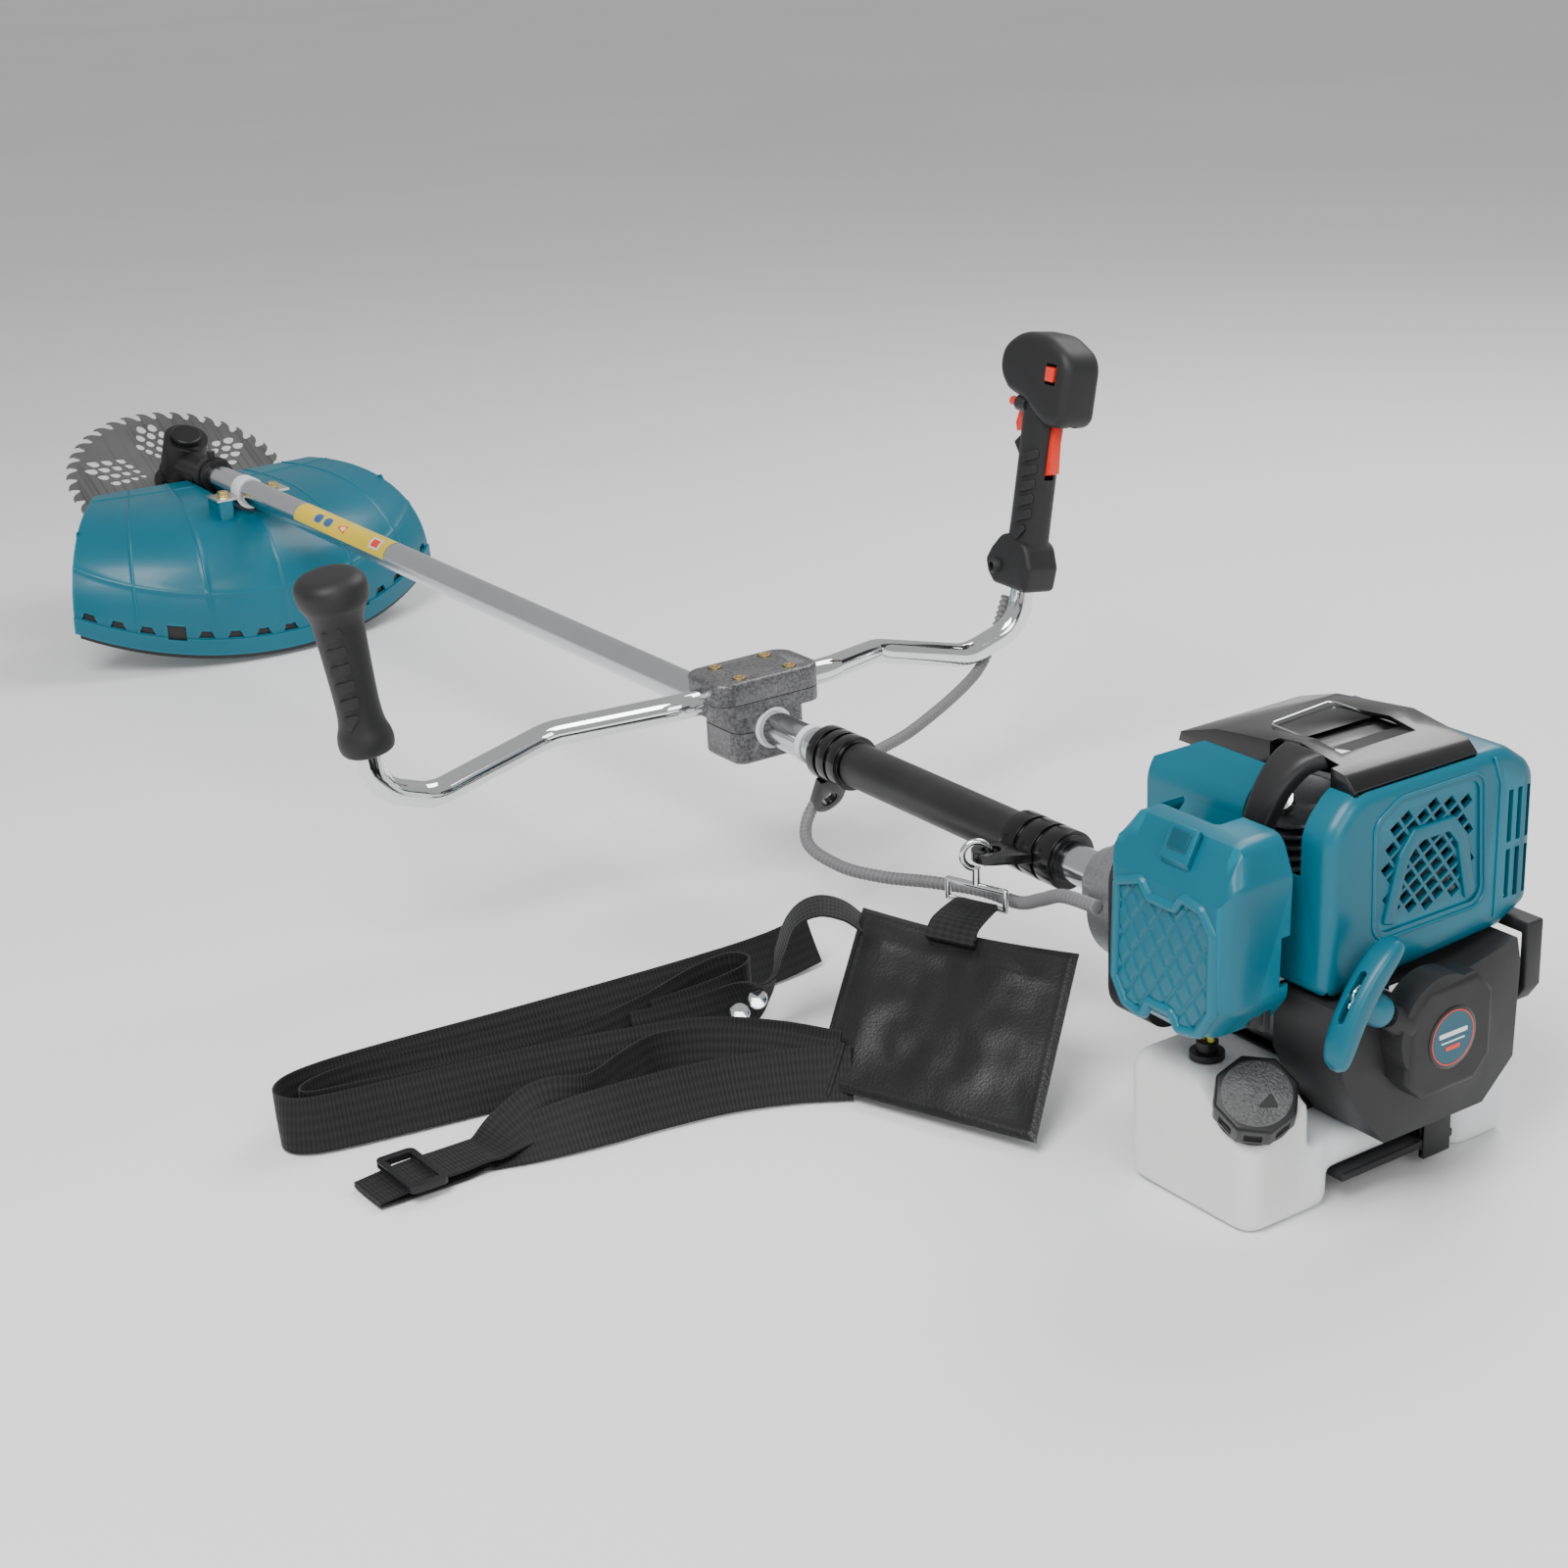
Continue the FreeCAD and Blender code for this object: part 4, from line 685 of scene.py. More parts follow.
BLADE_CENTRE = Vector((1604, 0, -27))
BLADE_TILT = math.radians(27.8)
BLADE_R = 127.5
RIM_R = 298.0
RIM_HALF_ANGLE = 45.0
RIM_HEIGHT = 8.0
GUARD_FRONT_X = 1532.0
GUARD_FRONT_Y = 128.0
TROUGH_R = 22.0


def blade_point(radius, angle, height):
    """A point of the blade's own frame, with angle 0 on the operator's side."""
    back = radius * math.cos(math.radians(angle))
    side = radius * math.sin(math.radians(angle))
    x = BLADE_CENTRE.x - back * math.cos(BLADE_TILT) - height * math.sin(BLADE_TILT)
    z = BLADE_CENTRE.z - back * math.sin(BLADE_TILT) + height * math.cos(BLADE_TILT)
    return Vector((x, side, z))


def sheet(name, outline, holes, low, high, lay, material):
    """A flat sheet with holes; lay(x, y, height) puts each point in place."""
    loops = [outline, *holes]
    flat = [Vector((x, y, 0)) for loop in loops for x, y in loop]
    triangles = tessellate_polygon([[Vector((x, y, 0)) for x, y in loop] for loop in loops])
    count = len(flat)
    verts = [lay(p.x, p.y, low) for p in flat] + [lay(p.x, p.y, high) for p in flat]
    faces = [tuple(t) for t in triangles] + [tuple(i + count for i in reversed(t)) for t in triangles]
    start = 0
    for loop in loops:
        for i in range(len(loop)):
            a, b = start + i, start + (i + 1) % len(loop)
            faces.append((a, b, b + count, a + count))
        start += len(loop)
    return mesh_from(name, verts, faces, material)


def teardrop(radius, angle, size):
    """A pierced hole, round towards the hub and pointed towards the rim."""
    points = []
    for a in circle(18):
        reach = size * (1 + 0.42 * max(0.0, math.cos(a)) ** 3)
        along = radius + reach * math.cos(a)
        across = size * 0.86 * math.sin(a)
        points.append((along * math.cos(angle) - across * math.sin(angle),
                       along * math.sin(angle) + across * math.cos(angle)))
    return points


TEETH = 40
BORE_R = 12.7
# One tooth: share of the pitch, and depth under the tip circle.
TOOTH = ((0.0, -12.0), (0.03, -9.0), (0.05, -3.0), (-0.10, -0.2), (0.05, 0.0), (0.30, -1.2), (0.52, -4.4),
         (0.66, -8.2), (0.76, -11.0), (0.86, -12.0))
# Rows of pierced holes in a group: radius, number, size.
HOLE_ROWS = ((42, 1, 3.2), (51, 2, 3.9), (61, 3, 4.5), (72.5, 4, 5.0), (85.5, 3, 5.6), (99, 2, 6.2))


def saw_blade():
    """A forty-tooth disc with six wedge-shaped groups of pierced holes."""
    pitch = math.tau / TEETH
    outline = []
    for index in range(TEETH):
        for share, depth in TOOTH:
            a = (index + share) * pitch
            outline.append(((BLADE_R + depth) * math.cos(a), (BLADE_R + depth) * math.sin(a)))
    holes = [[(BORE_R * math.cos(a), BORE_R * math.sin(a)) for a in circle(32)]]
    for group in circle(6):
        for radius, number, size in HOLE_ROWS:
            for k in range(number):
                offset = (k - (number - 1) / 2) * (13.4 / radius)
                holes.append(teardrop(radius, group + offset, size))
    half = 0.8

    def lay(x, y, height):
        return blade_point(math.hypot(x, y), math.degrees(math.atan2(y, x)), height)

    disc = sheet("saw_blade_disc", outline, holes, -half, half, lay, BLADE)
    hand_over(disc, "cutter", "blade_steel", "saw_blade")


def guard_point(share, f):
    """The guard's outer face: share runs from right (-1) to left (1), f from the front edge to the rim."""
    front, rim, flatness = guard_section(share)
    drop = 1 - (1 - f ** flatness) ** (1 / flatness) if f < 1 else 1.0
    flat = front.lerp(rim, f)
    return Vector((flat.x, flat.y, front.z + (rim.z - front.z) * drop))


def guard_section(share):
    """Where the guard starts and ends at this place across it, and how boxy its curve is."""
    front = Vector((GUARD_FRONT_X, GUARD_FRONT_Y * share, -6 - 2 * (1 - abs(share))))
    return front, blade_point(RIM_R, RIM_HALF_ANGLE * share, RIM_HEIGHT), 3.4 - 1.1 * abs(share)


def wall_share(height, share):
    """How far down its curve the guard is when it's this high above its rim."""
    front, rim, flatness = guard_section(share)
    left = min(1.0, height / (front.z - rim.z))
    return (1 - left ** flatness) ** (1 / flatness)


SLOT_SPOTS = [(-0.93 + 0.1325 * k, k in (4, 11)) for k in range(15)]
RIB_SHARES = (-0.74, -0.38, 0.0, 0.36, 0.70)
RIM_BAND = 17.5
RIM_BAND_LIFT = 1.8
ROW_HEIGHTS = (0, 2, 5, 9, 13, 15, 17.4, 17.6, 18.5, 20.2, 22, 24, 26, 28, 30.5, 34, 38, 43, 48, 54, 60, 63,
               64.5, 66, 67.5, 69, 73, 79, 86, 94)
ROW_SHARES = (0.0, 0.012, 0.05, 0.1, 0.14, 0.15, 0.16, 0.17, 0.18, 0.22, 0.28, 0.34, 0.40, 0.46, 0.52, 0.58,
              0.64)


def guard_lift(share, height, f):
    """Raised ribs and the thicker band round the rim."""
    if height < RIM_BAND:
        return RIM_BAND_LIFT
    bands = [(share - rib, 0.008, 1.1) for rib in RIB_SHARES]
    bands += [(height - 66, 2.2, 1.1), (f - 0.16, 0.011, 1.0)]
    return max(lift * max(0.0, 1 - (abs(off) / half) ** 2) for off, half, lift in bands)


def slot_half(large):
    return 0.042 if large else 0.036


def slot_at(share, height):
    for spot, large in SLOT_SPOTS:
        low, top, slope = (15.0, 30.5, 0.0) if large else (18.5, 26.0, 0.012)
        slant = slope * (height - low) / (top - low)
        if low < height < top and abs(share - spot) < slot_half(large) - slant:
            return True
    return False


def in_trough(point):
    """Presses the guard down where the shaft tube lies in it."""
    if abs(point.y) < TROUGH_R:
        return Vector((point.x, point.y, min(point.z, -math.sqrt(TROUGH_R ** 2 - point.y ** 2))))
    return point


def guard_shares():
    shares = {round(-1 + k / 60, 5) for k in range(121)} | {round(-0.18 + k / 100, 5) for k in range(37)}
    for rib in RIB_SHARES:
        shares.update(round(rib + d, 5) for d in (-0.010, -0.006, -0.003, 0, 0.003, 0.006, 0.010))
    for spot, large in SLOT_SPOTS:
        half = slot_half(large)
        edges = (half,) if large else (half, half - 0.004, half - 0.008, half - 0.012)
        shares.update(round(spot + side * e, 5) for e in edges for side in (-1, 1))
    ordered = sorted(s for s in shares if -1 <= s <= 1)
    return [s for i, s in enumerate(ordered) if i == 0 or s - ordered[i - 1] > 0.0015]


def guard_column(share):
    """The points down one section: (share of the curve, height above the rim)."""
    column = [(f, 200.0) for f in ROW_SHARES]
    last = ROW_SHARES[-1]
    join = wall_share(ROW_HEIGHTS[-1], share)
    column += [(last + (join - last) * k / 4, 120.0) for k in range(1, 4)]
    return column + [(wall_share(height, share), height) for height in reversed(ROW_HEIGHTS)]


def guard_shell():
    """The moulded deflector: ribs, a thick rim and a row of slots above it."""
    shares = guard_shares()
    grid = [guard_column(share) for share in shares]
    count = len(grid[0])
    raw = [[guard_point(share, f) for f, _ in column] for share, column in zip(shares, grid)]
    verts = []
    for i, share in enumerate(shares):
        for j, (f, height) in enumerate(grid[i]):
            along = raw[i][min(j + 1, count - 1)] - raw[i][max(j - 1, 0)]
            across = raw[min(i + 1, len(shares) - 1)][j] - raw[max(i - 1, 0)][j]
            normal = across.cross(along).normalized()
            if normal.z < 0 or (height < 90 and normal.x > 0):
                normal = -normal
            verts.append(in_trough(raw[i][j] + normal * guard_lift(share, height, f)))
    faces = []
    for i in range(len(shares) - 1):
        middle = (shares[i] + shares[i + 1]) / 2
        for j in range(count - 1):
            if not slot_at(middle, (grid[i][j][1] + grid[i][j + 1][1]) / 2):
                a = i * count + j
                faces.append((a, a + count, a + count + 1, a + 1))
    shell = mesh_from("guard_shell", verts, faces, TEAL)
    top = shell.data.polygons[0]
    outward = (top.center - at(1450, 0, -300)).dot(top.normal) > 0
    return shade(thicken(shell, 3, -1 if outward else 1), 40)


def guard_bosses():
    """A boss for each of the two bolts."""
    bosses = []
    for side in (-1, 1):
        boss = block("boss", (1398, 1432), sorted((side * 23.5, side * 40.0)), (-26, -4.1), 3, 0.8, TEAL)
        bolt = sweep("bolt", [Vector((1414, side * 29, z)) for z in (-40, 0)], 3.2, sides=24)
        bosses.append(shade(cut_out(boss, [bolt])))
    return bosses


def guard():
    hand_over(joined("guard_moulding", [guard_shell(), *guard_bosses()]), "frame", "teal_plastic", "guard")


# Sections of the flap: height above the rim, and how deep under the guard's skin its face lies. Above the rim
# it is a dark sheet behind the slots: painted shade.
FLAP_SECTION = ((-4.5, 0.6), (-0.4, 0.6), (-0.3, 3.6), (10, 3.6), (18, 3.6), (26, 3.8), (34, 4.2))
FLAP_BACK = 7.5


def rim_flap_and_slot_shade():
    """The rubber strip inside the rim: its lip shows under the rim; above the rim it backs the slots, a dark
    sheet that stands for the shade seen through them.
    """
    rings = []
    for k in range(97):
        share = -0.98 + 1.96 * k / 96
        outer, inner = [], []
        for height, depth in FLAP_SECTION:
            point = guard_point(share, wall_share(max(height, 0.0), share)) + Vector((0, 0, min(height, 0.0)))
            away = Vector((point.x - BLADE_CENTRE.x, point.y - BLADE_CENTRE.y, 0)).normalized()
            outer.append(above_floor(point - away * depth))
            inner.append(above_floor(point - away * FLAP_BACK))
        rings.append(outer + inner[::-1])
    hand_over(shade(loft("rim_flap_and_slot_shade", rings, RUBBER), 40), "frame", "rubber", "guard_flap")


def above_floor(point):
    """Keeps a point of the shaft's frame just off the floor."""
    lift = 0.0003 - at(*point).z
    return point + Vector((0, 0, max(0.0, lift) / MM))


saw_blade()
guard()
rim_flap_and_slot_shade()


# ---------------------------------------------------------------- engine covers

REAR_X = -270.0
SHROUD = [(65, 22), (65, 128, 26), (44, 150, 26), (-84, 150, 26), (-110, 132, 20), (-110, 42), (-84, 30)]
FRONT_SLOPE = [(-150, 153), (-60, 108), (-60, 190), (-150, 190)]
FIELD = [(-64, 56), (24, 56), (26, 126), (8, 136), (-58, 136)]
FIELD_LIP = [(-68, 52), (28, 52), (30, 128), (10, 140), (-62, 140)]
ARCH = [(-55, 60), (-46, 100), (-36, 112), (-6, 112), (4, 100), (15, 60)]


def smaller(corners, distance):
    """The same outline, moved inward; a third number is a corner's own radius."""
    flat = counter_clockwise([Vector(c[:2]) for c in corners])
    return [tuple(p) for p in inset(flat, distance)]


def engine_shroud():
    """The teal cover: soft edges, a recessed vent field behind and slots beside it."""
    outer = pillow_slab("shroud_shell", SHROUD, "x", REAR_X, -110, 10, (9, 3), TEAL, 6)
    inner = pillow_slab("inside", smaller(SHROUD, 3), "x", REAR_X + 3, -90, 8, (6, 0))
    cutters = [inner, block("below", (REAR_X + 3, -90), (-106.5, 61.5), (5, 60)),
               block("boot_room", (-246, -196), (36, 80), (96, 170), 6),
               block("carburettor_room", (-226, -120), (55, 80), (20, 94), 6),
               block("lid_room", (-266, -112), (-59.5, 43.2), (140, 172), 2),
               pillow_slab("field", FIELD, "x", REAR_X - 5, REAR_X + 8, 9),
               pillow_slab("front_slope", FRONT_SLOPE, "y", -130, 90, 2)]
    for y in (-87, -95, -103):
        for low, high in ((50, 82), (87, 121)):
            cutters.append(block("slot", (REAR_X - 5, REAR_X + 12), (y - 1.9, y + 1.9), (low, high), 1.5))
    cut_out(outer, cutters)
    softened(outer, 0.5, 2, 50, 35)
    hand_over(joined("shroud_moulding", [outer, vent_field(), *shroud_trims()]), "frame", "teal_plastic",
              "engine_shroud")


def inside_outline(x, y, outline):
    hit = False
    for (x1, y1), (x2, y2) in zip(outline, outline[1:] + outline[:1]):
        if (y1 > y) != (y2 > y) and x < (x2 - x1) * (y - y1) / (y2 - y1) + x1:
            hit = not hit
    return hit


def vent_field():
    """A panel of slanting lozenge holes with a raised arch across it."""
    outline = [(p.x, p.y) for p in counter_clockwise(rounded_outline(FIELD, 9, 5))]
    border = [(p.x, p.y) for p in inset([Vector(p) for p in outline], 3.2)]
    holes = []
    for i in range(-9, 12):
        for j in range(-9, 14):
            y = -20 + 8.6 * i + 5.4 * j
            z = 96 - 4.9 * i + 7.2 * j
            signs = rectangle((-1, 1), (-1, 1))
            lozenge = [(y + 3.3 * a + 2.0 * b, z - 1.9 * a + 2.75 * b) for a, b in signs]
            if all(inside_outline(a, b, border) for a, b in lozenge):
                holes.append(lozenge)

    def lay(y, z, depth):
        return (REAR_X + depth, y, z)

    panel = sheet("vent_panel", outline, holes, 1.6, 5.0, lay, TEAL)
    return joined("vent_field", [shade(panel, 30), shade(ribbon_on_face(ARCH, 4.6), 30)])


def ribbon_on_face(line, half):
    """A raised band along an open line on the shroud's rear face."""
    path = [Vector((y, z)) for y, z in line]
    left, right = [], []
    for i, point in enumerate(path):
        before = (point - path[max(i - 1, 0)]).normalized()
        after = (path[min(i + 1, len(path) - 1)] - point).normalized()
        along = (before + after).normalized()
        reach = half / max(0.5, along.dot(after if after.length else before))
        normal = Vector((-along.y, along.x)) * reach
        left.append(point + normal)
        right.append(point - normal)
    band = [(p.x, p.y) for p in left + right[::-1]]
    return pillow_slab("arch", band, "x", REAR_X - 0.4, REAR_X + 5, 2.0, (1.2, 0), TEAL)


def shroud_trims():
    """A raised border round the field and a step along the top of the rear face."""
    border = counter_clockwise(rounded_outline(FIELD_LIP, 11, 5))
    line = [Vector((REAR_X - 0.2, p.x, p.y)) for p in border]
    seam = [Vector((REAR_X - 0.3, y, z)) for y, z in ((-77, 40), (-77, 128), (-70, 146))]
    return [shade(sweep("field_lip", line, 1.1, TEAL, 10, closed=True)),
            shade(sweep("seam_rib", seam, 0.9, TEAL, 10))]


LID_FLOOR = [(-242, 150, 1), (-242, 157.5, 2), (-208, 159.5, 8), (-152, 151, 4), (-138, 146, 2),
             (-138, 140, 1)]
LID_RIM = [(-240, -40), (-238, 14), (-226, 21), (-172, 20), (-166, -38)]


def lid_line():
    """The floor of the lid's sunk panel and the bright line round it."""
    line = [Vector((p.x, p.y, 161.9 + 0.05 * min(p.x + 205, 0))) for p in rounded_outline(LID_RIM, 5, 5)]
    bright = shade(sweep("lid_line", line, 0.7, BRIGHT, 8, closed=True))
    panel = pillow_slab("panel", LID_FLOOR, "y", -46, 30, 2, (1, 1), GLOSS, 4)
    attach(joined("lid_panel", [bright, shade(panel, 30)]), "frame")


COVER = [(-147, 22, 12), (-158, 0, 10), (-196, -4, 20), (-236, 4, 12), (-252, 26, 12), (-254, 104, 14),
         (-244, 128, 12), (-160, 128, 12), (-147, 108, 12)]
COVER_FACE_Y = 130.0
# Sections of the cover's outside and inside: how far out, and how far in from the outline.
COVER_OUTSIDE = ((78, 1.2), (79.2, 0), (104, 0), (112, 0), (117, 0.3), (121, 1.2), (124, 2.4), (127, 4.4),
                 (129, 6.6), (130, 9.0))
COVER_INSIDE = ((70, 3.0), (110, 3.0), (120, 6.0), (125, 11.0))
COVER_TOP = 129.0
BROW_SLOPE = 1.75
SCOOP = [(-214, 134), (-206, 110), (-180, 106), (-160, 118), (-160, 134)]
TAB = [(112, 127.5), (116, 129), (126, 110), (123, 103)]
TAB_STEP = [(115, 125), (118, 127), (124, 116), (121, 112)]


def filter_cover():
    """The air filter cover: a deep rounded cup with a sloping brow and a framed, quilted face."""
    outline = counter_clockwise(rounded_outline(COVER, 12, 6))
    rings = []
    for y, shrink in COVER_OUTSIDE:
        brow = COVER_TOP - BROW_SLOPE * max(0, y - 110)
        chin = -5 + 0.9 * max(0, y - 114)
        rings.append([(p.x, y, min(max(p.y, chin), brow)) for p in inset(outline, shrink)])
    cup = loft("cup", rings, TEAL)
    hollow = loft("hollow", [[(p.x, y, min(p.y, COVER_TOP - BROW_SLOPE * max(0, y - 107)))
                              for p in inset(outline, shrink)] for y, shrink in COVER_INSIDE])
    clips = [block("clip", (-262, -249), y_span, z_span, 3)
             for y_span, z_span in (((70, 86), (34, 66)), ((70, 84), (4, 20)))]
    cut_out(cup, [hollow, *clips, pillow_slab("scoop", SCOOP, "y", 70, 100, 4, (0, 4))])
    softened(cup, 0.6, 2, 50)
    tab = shade(pillow_slab("tab", TAB, "x", -214, -190, 1.2, (1.5, 1.5), TEAL))
    # The tab's step is a darker teal: painted shade.
    notch = shade(pillow_slab("tab_step", TAB_STEP, "x", -210, -194, 1, (0.8, 0.8), TEAL_DARK))
    whole = joined("filter_cover", [cup, tab, notch, face_frame(), quilting()])
    hand_over(whole, "filter_cover", "teal_plastic", "air_filter_cover")


FRAME_LINE = [(-160, 84), (-180, 91), (-187, 82), (-211, 82), (-217, 91), (-232, 88), (-241, 76), (-241, 26),
              (-230, 10), (-214, 7), (-209, 16), (-187, 16), (-182, 5), (-167, 8), (-158, 22)]


def face_frame():
    """The raised frame, with a step inward at its top and at its foot."""
    points = counter_clockwise(rounded_outline(FRAME_LINE, 3.5, 4))
    section = [(-4.6, -1.0), (-3.4, 2.0), (-1.8, 3.2), (0.6, 3.2), (2.0, 1.8), (2.6, -1.0)]
    offsets = [(inset(points, distance), height) for distance, height in section]
    rings = [[(ring[i].x, COVER_FACE_Y + height, ring[i].y) for ring, height in offsets]
             for i in range(len(points))]
    rings.append(rings[0])
    return shade(loft("face_frame", rings, TEAL, closed=False, capped=False), 50)


def quilting():
    """Pillowed lozenges inside the frame."""
    inner = [(p.x, p.y) for p in inset(counter_clockwise(rounded_outline(FRAME_LINE, 3.5, 4)), 2.0)]
    step = 0.8
    x0, z0 = -246, 0
    verts, faces, index = [], [], {}
    for i in range(int(92 / step)):
        for j in range(int(96 / step)):
            x, z = x0 + i * step, z0 + j * step
            if not inside_outline(x, z, inner):
                continue
            u = (x * 0.80 + z * 0.60) / 12.5
            v = (x * 0.80 - z * 0.60) / 12.5
            pillow = min(1.0, 2.4 * min(abs(math.sin(math.pi * u)), abs(math.sin(math.pi * v))))
            index[(i, j)] = len(verts)
            verts.append((x, COVER_FACE_Y - 1.0 + 1.9 * pillow ** 0.6, z))
    for i, j in index:
        corners = [(i, j), (i + 1, j), (i + 1, j + 1), (i, j + 1)]
        if all(c in index for c in corners):
            faces.append(tuple(index[c] for c in corners))
    return shade(mesh_from("quilting", verts, faces, TEAL), 60)


def badge():
    """A plain round badge: a dark disc, a thin ring and three blank bars."""
    def turned(name, profile, material):
        return shade(turned_profile(name, profile, (-303, -8, -8), (-1, 0, 0), material, 64), 30)

    pieces = [turned("disc", [(0.6, 0.01), (0.6, 19.6), (0.3, 20.2), (-0.5, 20.2)], GLOSS),
              turned("ring", [(0.58, 17.2), (0.75, 17.2), (0.75, 17.9), (0.58, 17.9)], RED),
              turned("face", [(0.6, 0.01), (0.74, 0.01), (0.74, 16.9), (0.6, 16.9)], TEAL_DARK)]
    for low, high, half, material in ((-6.4, -3.4, 12, LABEL_WHITE), (-10.4, -9.4, 10, LABEL_WHITE),
                                      (-15.6, -12.8, 6, RED)):
        bar = rectangle((-8 - half, -8 + half), (low, high))
        pieces.append(pillow_slab("bar", bar, "x", -304.0, -303.4, 0.8, material=material))
    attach(joined("round_badge", pieces), "frame")


HANDLE = Vector((-294, 62, 33))
PULL = Vector((0, 0.826, 0.564))
BAR = Vector((0, -0.564, 0.826))
ACROSS = Vector((1, 0, 0))
NECK = [(-21.5, 8.8), (-20.5, 9.8), (-12, 10.2), (-6, 8.6), (-2, 8.0)]
KNOT = [(3.4, 0.1), (3.8, 2.2), (5.6, 3.0), (7.4, 2.2), (7.8, 0.1)]


def starter_handle():
    """A curved T-grip with a slot, a steel rope clip and a round neck."""
    rings = []
    for k in range(33):
        t = -1 + k / 16
        spot = HANDLE + BAR * (43 * t) - PULL * (7.5 * t * t - 2.0)
        taper = math.sqrt(max(0.0, 1 - abs(t) ** 7)) if abs(t) < 1 else 0.0
        wide, thick = 9.4 * (0.25 + 0.75 * taper), (7.6 - 1.2 * t * t) * (0.2 + 0.8 * taper)
        rings.append([spot + ACROSS * (wide * c) + PULL * (thick * s)
                      for c, s in (squarish(a, 0.6) for a in circle(28))])
    bar = loft("bar", rings, TEAL)
    slot = block("slot", (-2.6, 2.6), (-17, 17), (3, 14), 2.5, place=SHAFT @ handle_matrix())
    cut_out(bar, [slot])
    softened(bar, 0.6, 2, 45)
    neck = turned_profile("neck", NECK, HANDLE, PULL, TEAL, 40)
    hook_line = smooth_line([(0, -7, 4.2), (0, -5, 7.0), (0, -1, 5.2), (0, 3, 8.4), (0, 8, 6.0)], 8)
    clip = sweep("clip", [handle_matrix() @ p for p in hook_line], 1.3, BRIGHT, 12)
    knot = turned_profile("knot", KNOT, HANDLE, PULL, BRIGHT, 20)
    whole = joined("starter_grip", [bar, shade(neck), shade(clip), shade(knot)])
    hand_over(whole, "pull_handle", "teal_plastic", "starter_handle")


def handle_matrix():
    """Places a piece drawn round the grip: Y along the bar, Z along the pull."""
    turn = Matrix((ACROSS, BAR, PULL)).transposed().to_4x4()
    return Matrix.Translation(HANDLE) @ turn


CAP_AXIS = Vector((-0.5, 0.4, 0.77)).normalized()
CAP_BASE = Vector((-238.0, 90.4, -50.5))
CAP_COLLAR = [(1.6, 17.6), (1.6, 24.2), (3.5, 24.8), (5.4, 24.0), (5.4, 17.6)]
CAP_TOP = [(23.6, 0.01), (24.5, 0.01), (24.5, 20.6), (24.1, 21.4), (23.6, 21.4)]
CAP_ARROW = [(-15, -4), (-5, -7), (-7, 6)]


def tank_cap():
    """Eight-sided fuel cap: gritty top, finger hollows in the sides and a plain collar."""
    turn = Vector((0, 0, 1)).rotation_difference(CAP_AXIS).to_matrix().to_4x4()
    place = SHAFT @ Matrix.Translation(CAP_BASE) @ turn
    octagon = [(26.5 * math.cos(a), 26.5 * math.sin(a)) for a in circle(8, 0.5)]
    head = pillow_slab("head", octagon, "z", 4.5, 24, 3.0, (1.0, 2.2), BLACK, 3, place)
    bore_line = [(17.6 * math.cos(a), 17.6 * math.sin(a)) for a in circle(24)]
    bore = pillow_slab("bore", bore_line, "z", 0, 19.5, 0.1, steps=1, place=place)
    hollows = [block("hollow", (22.6, 28), (-5.5, 5.5), (8, 17), 2, 1.0,
                     place=place @ Matrix.Rotation(a, 4, "Z")) for a in circle(8)]
    cut_out(head, [bore, *hollows])
    softened(head, 0.5, 2, 40)
    collar = turned_profile("collar", CAP_COLLAR, (0, 0, 0), (0, 0, 1), BLACK, 48, place)
    top = turned_profile("top", CAP_TOP, (0, 0, 0), (0, 0, 1), CAP, 64, place)
    arrow = pillow_slab("arrow", CAP_ARROW, "z", 24.3, 24.9, 0.8, (0, 0.2), BLACK, 3, place)
    whole = joined("fuel_cap", [head, shade(collar), shade(top, 30), arrow])
    hand_over(whole, "tank_cap", "dark_plastic", "tank_cap")


def soft_tank():
    """Softens the blow-moulded tank's blocks into one another."""
    node = frame["nodes"]["fuel_tank"]
    node.modifiers.clear()
    remesh = node.modifiers.new("skin", "REMESH")
    remesh.mode = "VOXEL"
    remesh.voxel_size = 2.2 * MM
    remesh.use_smooth_shade = True
    smooth = node.modifiers.new("soften", "SMOOTH")
    smooth.factor = 0.5
    smooth.iterations = 14


GROMMET = [(0, 5.9), (5, 5.9), (5.2, 11), (9.6, 11), (10, 10.5), (10.2, 7), (16.6, 7), (17, 6.4), (17, 0.1)]
FUEL_HOSE = [(0, 0, 0), (0, 2, 15), (8, -2, 35), (8, -6, 57)]


def fuel_lines():
    """The black grommet in the tank with its two clear yellow hoses."""
    foot = Vector((-190, 84, -41))
    grommet = turned_profile("grommet", GROMMET, foot, (0, 0, 1), BLACK, 32)
    hoses = []
    for dx in (-3.2, 3.2):
        start = foot + Vector((dx, 0, 16.5))
        line = smooth_line([start + Vector(step) for step in FUEL_HOSE], 8)
        hoses.append(shade(sweep("hose", line, 2.2, FUEL, 14)))
    hand_over(joined("fuel_hoses", [shade(grommet), *hoses]), "frame", "fuel_hose", "fuel_lines")


BOOT_PATH = [(-208, 66, 108), (-211, 63, 126), (-216, 58, 144), (-221, 50, 157), (-225, 42, 162)]


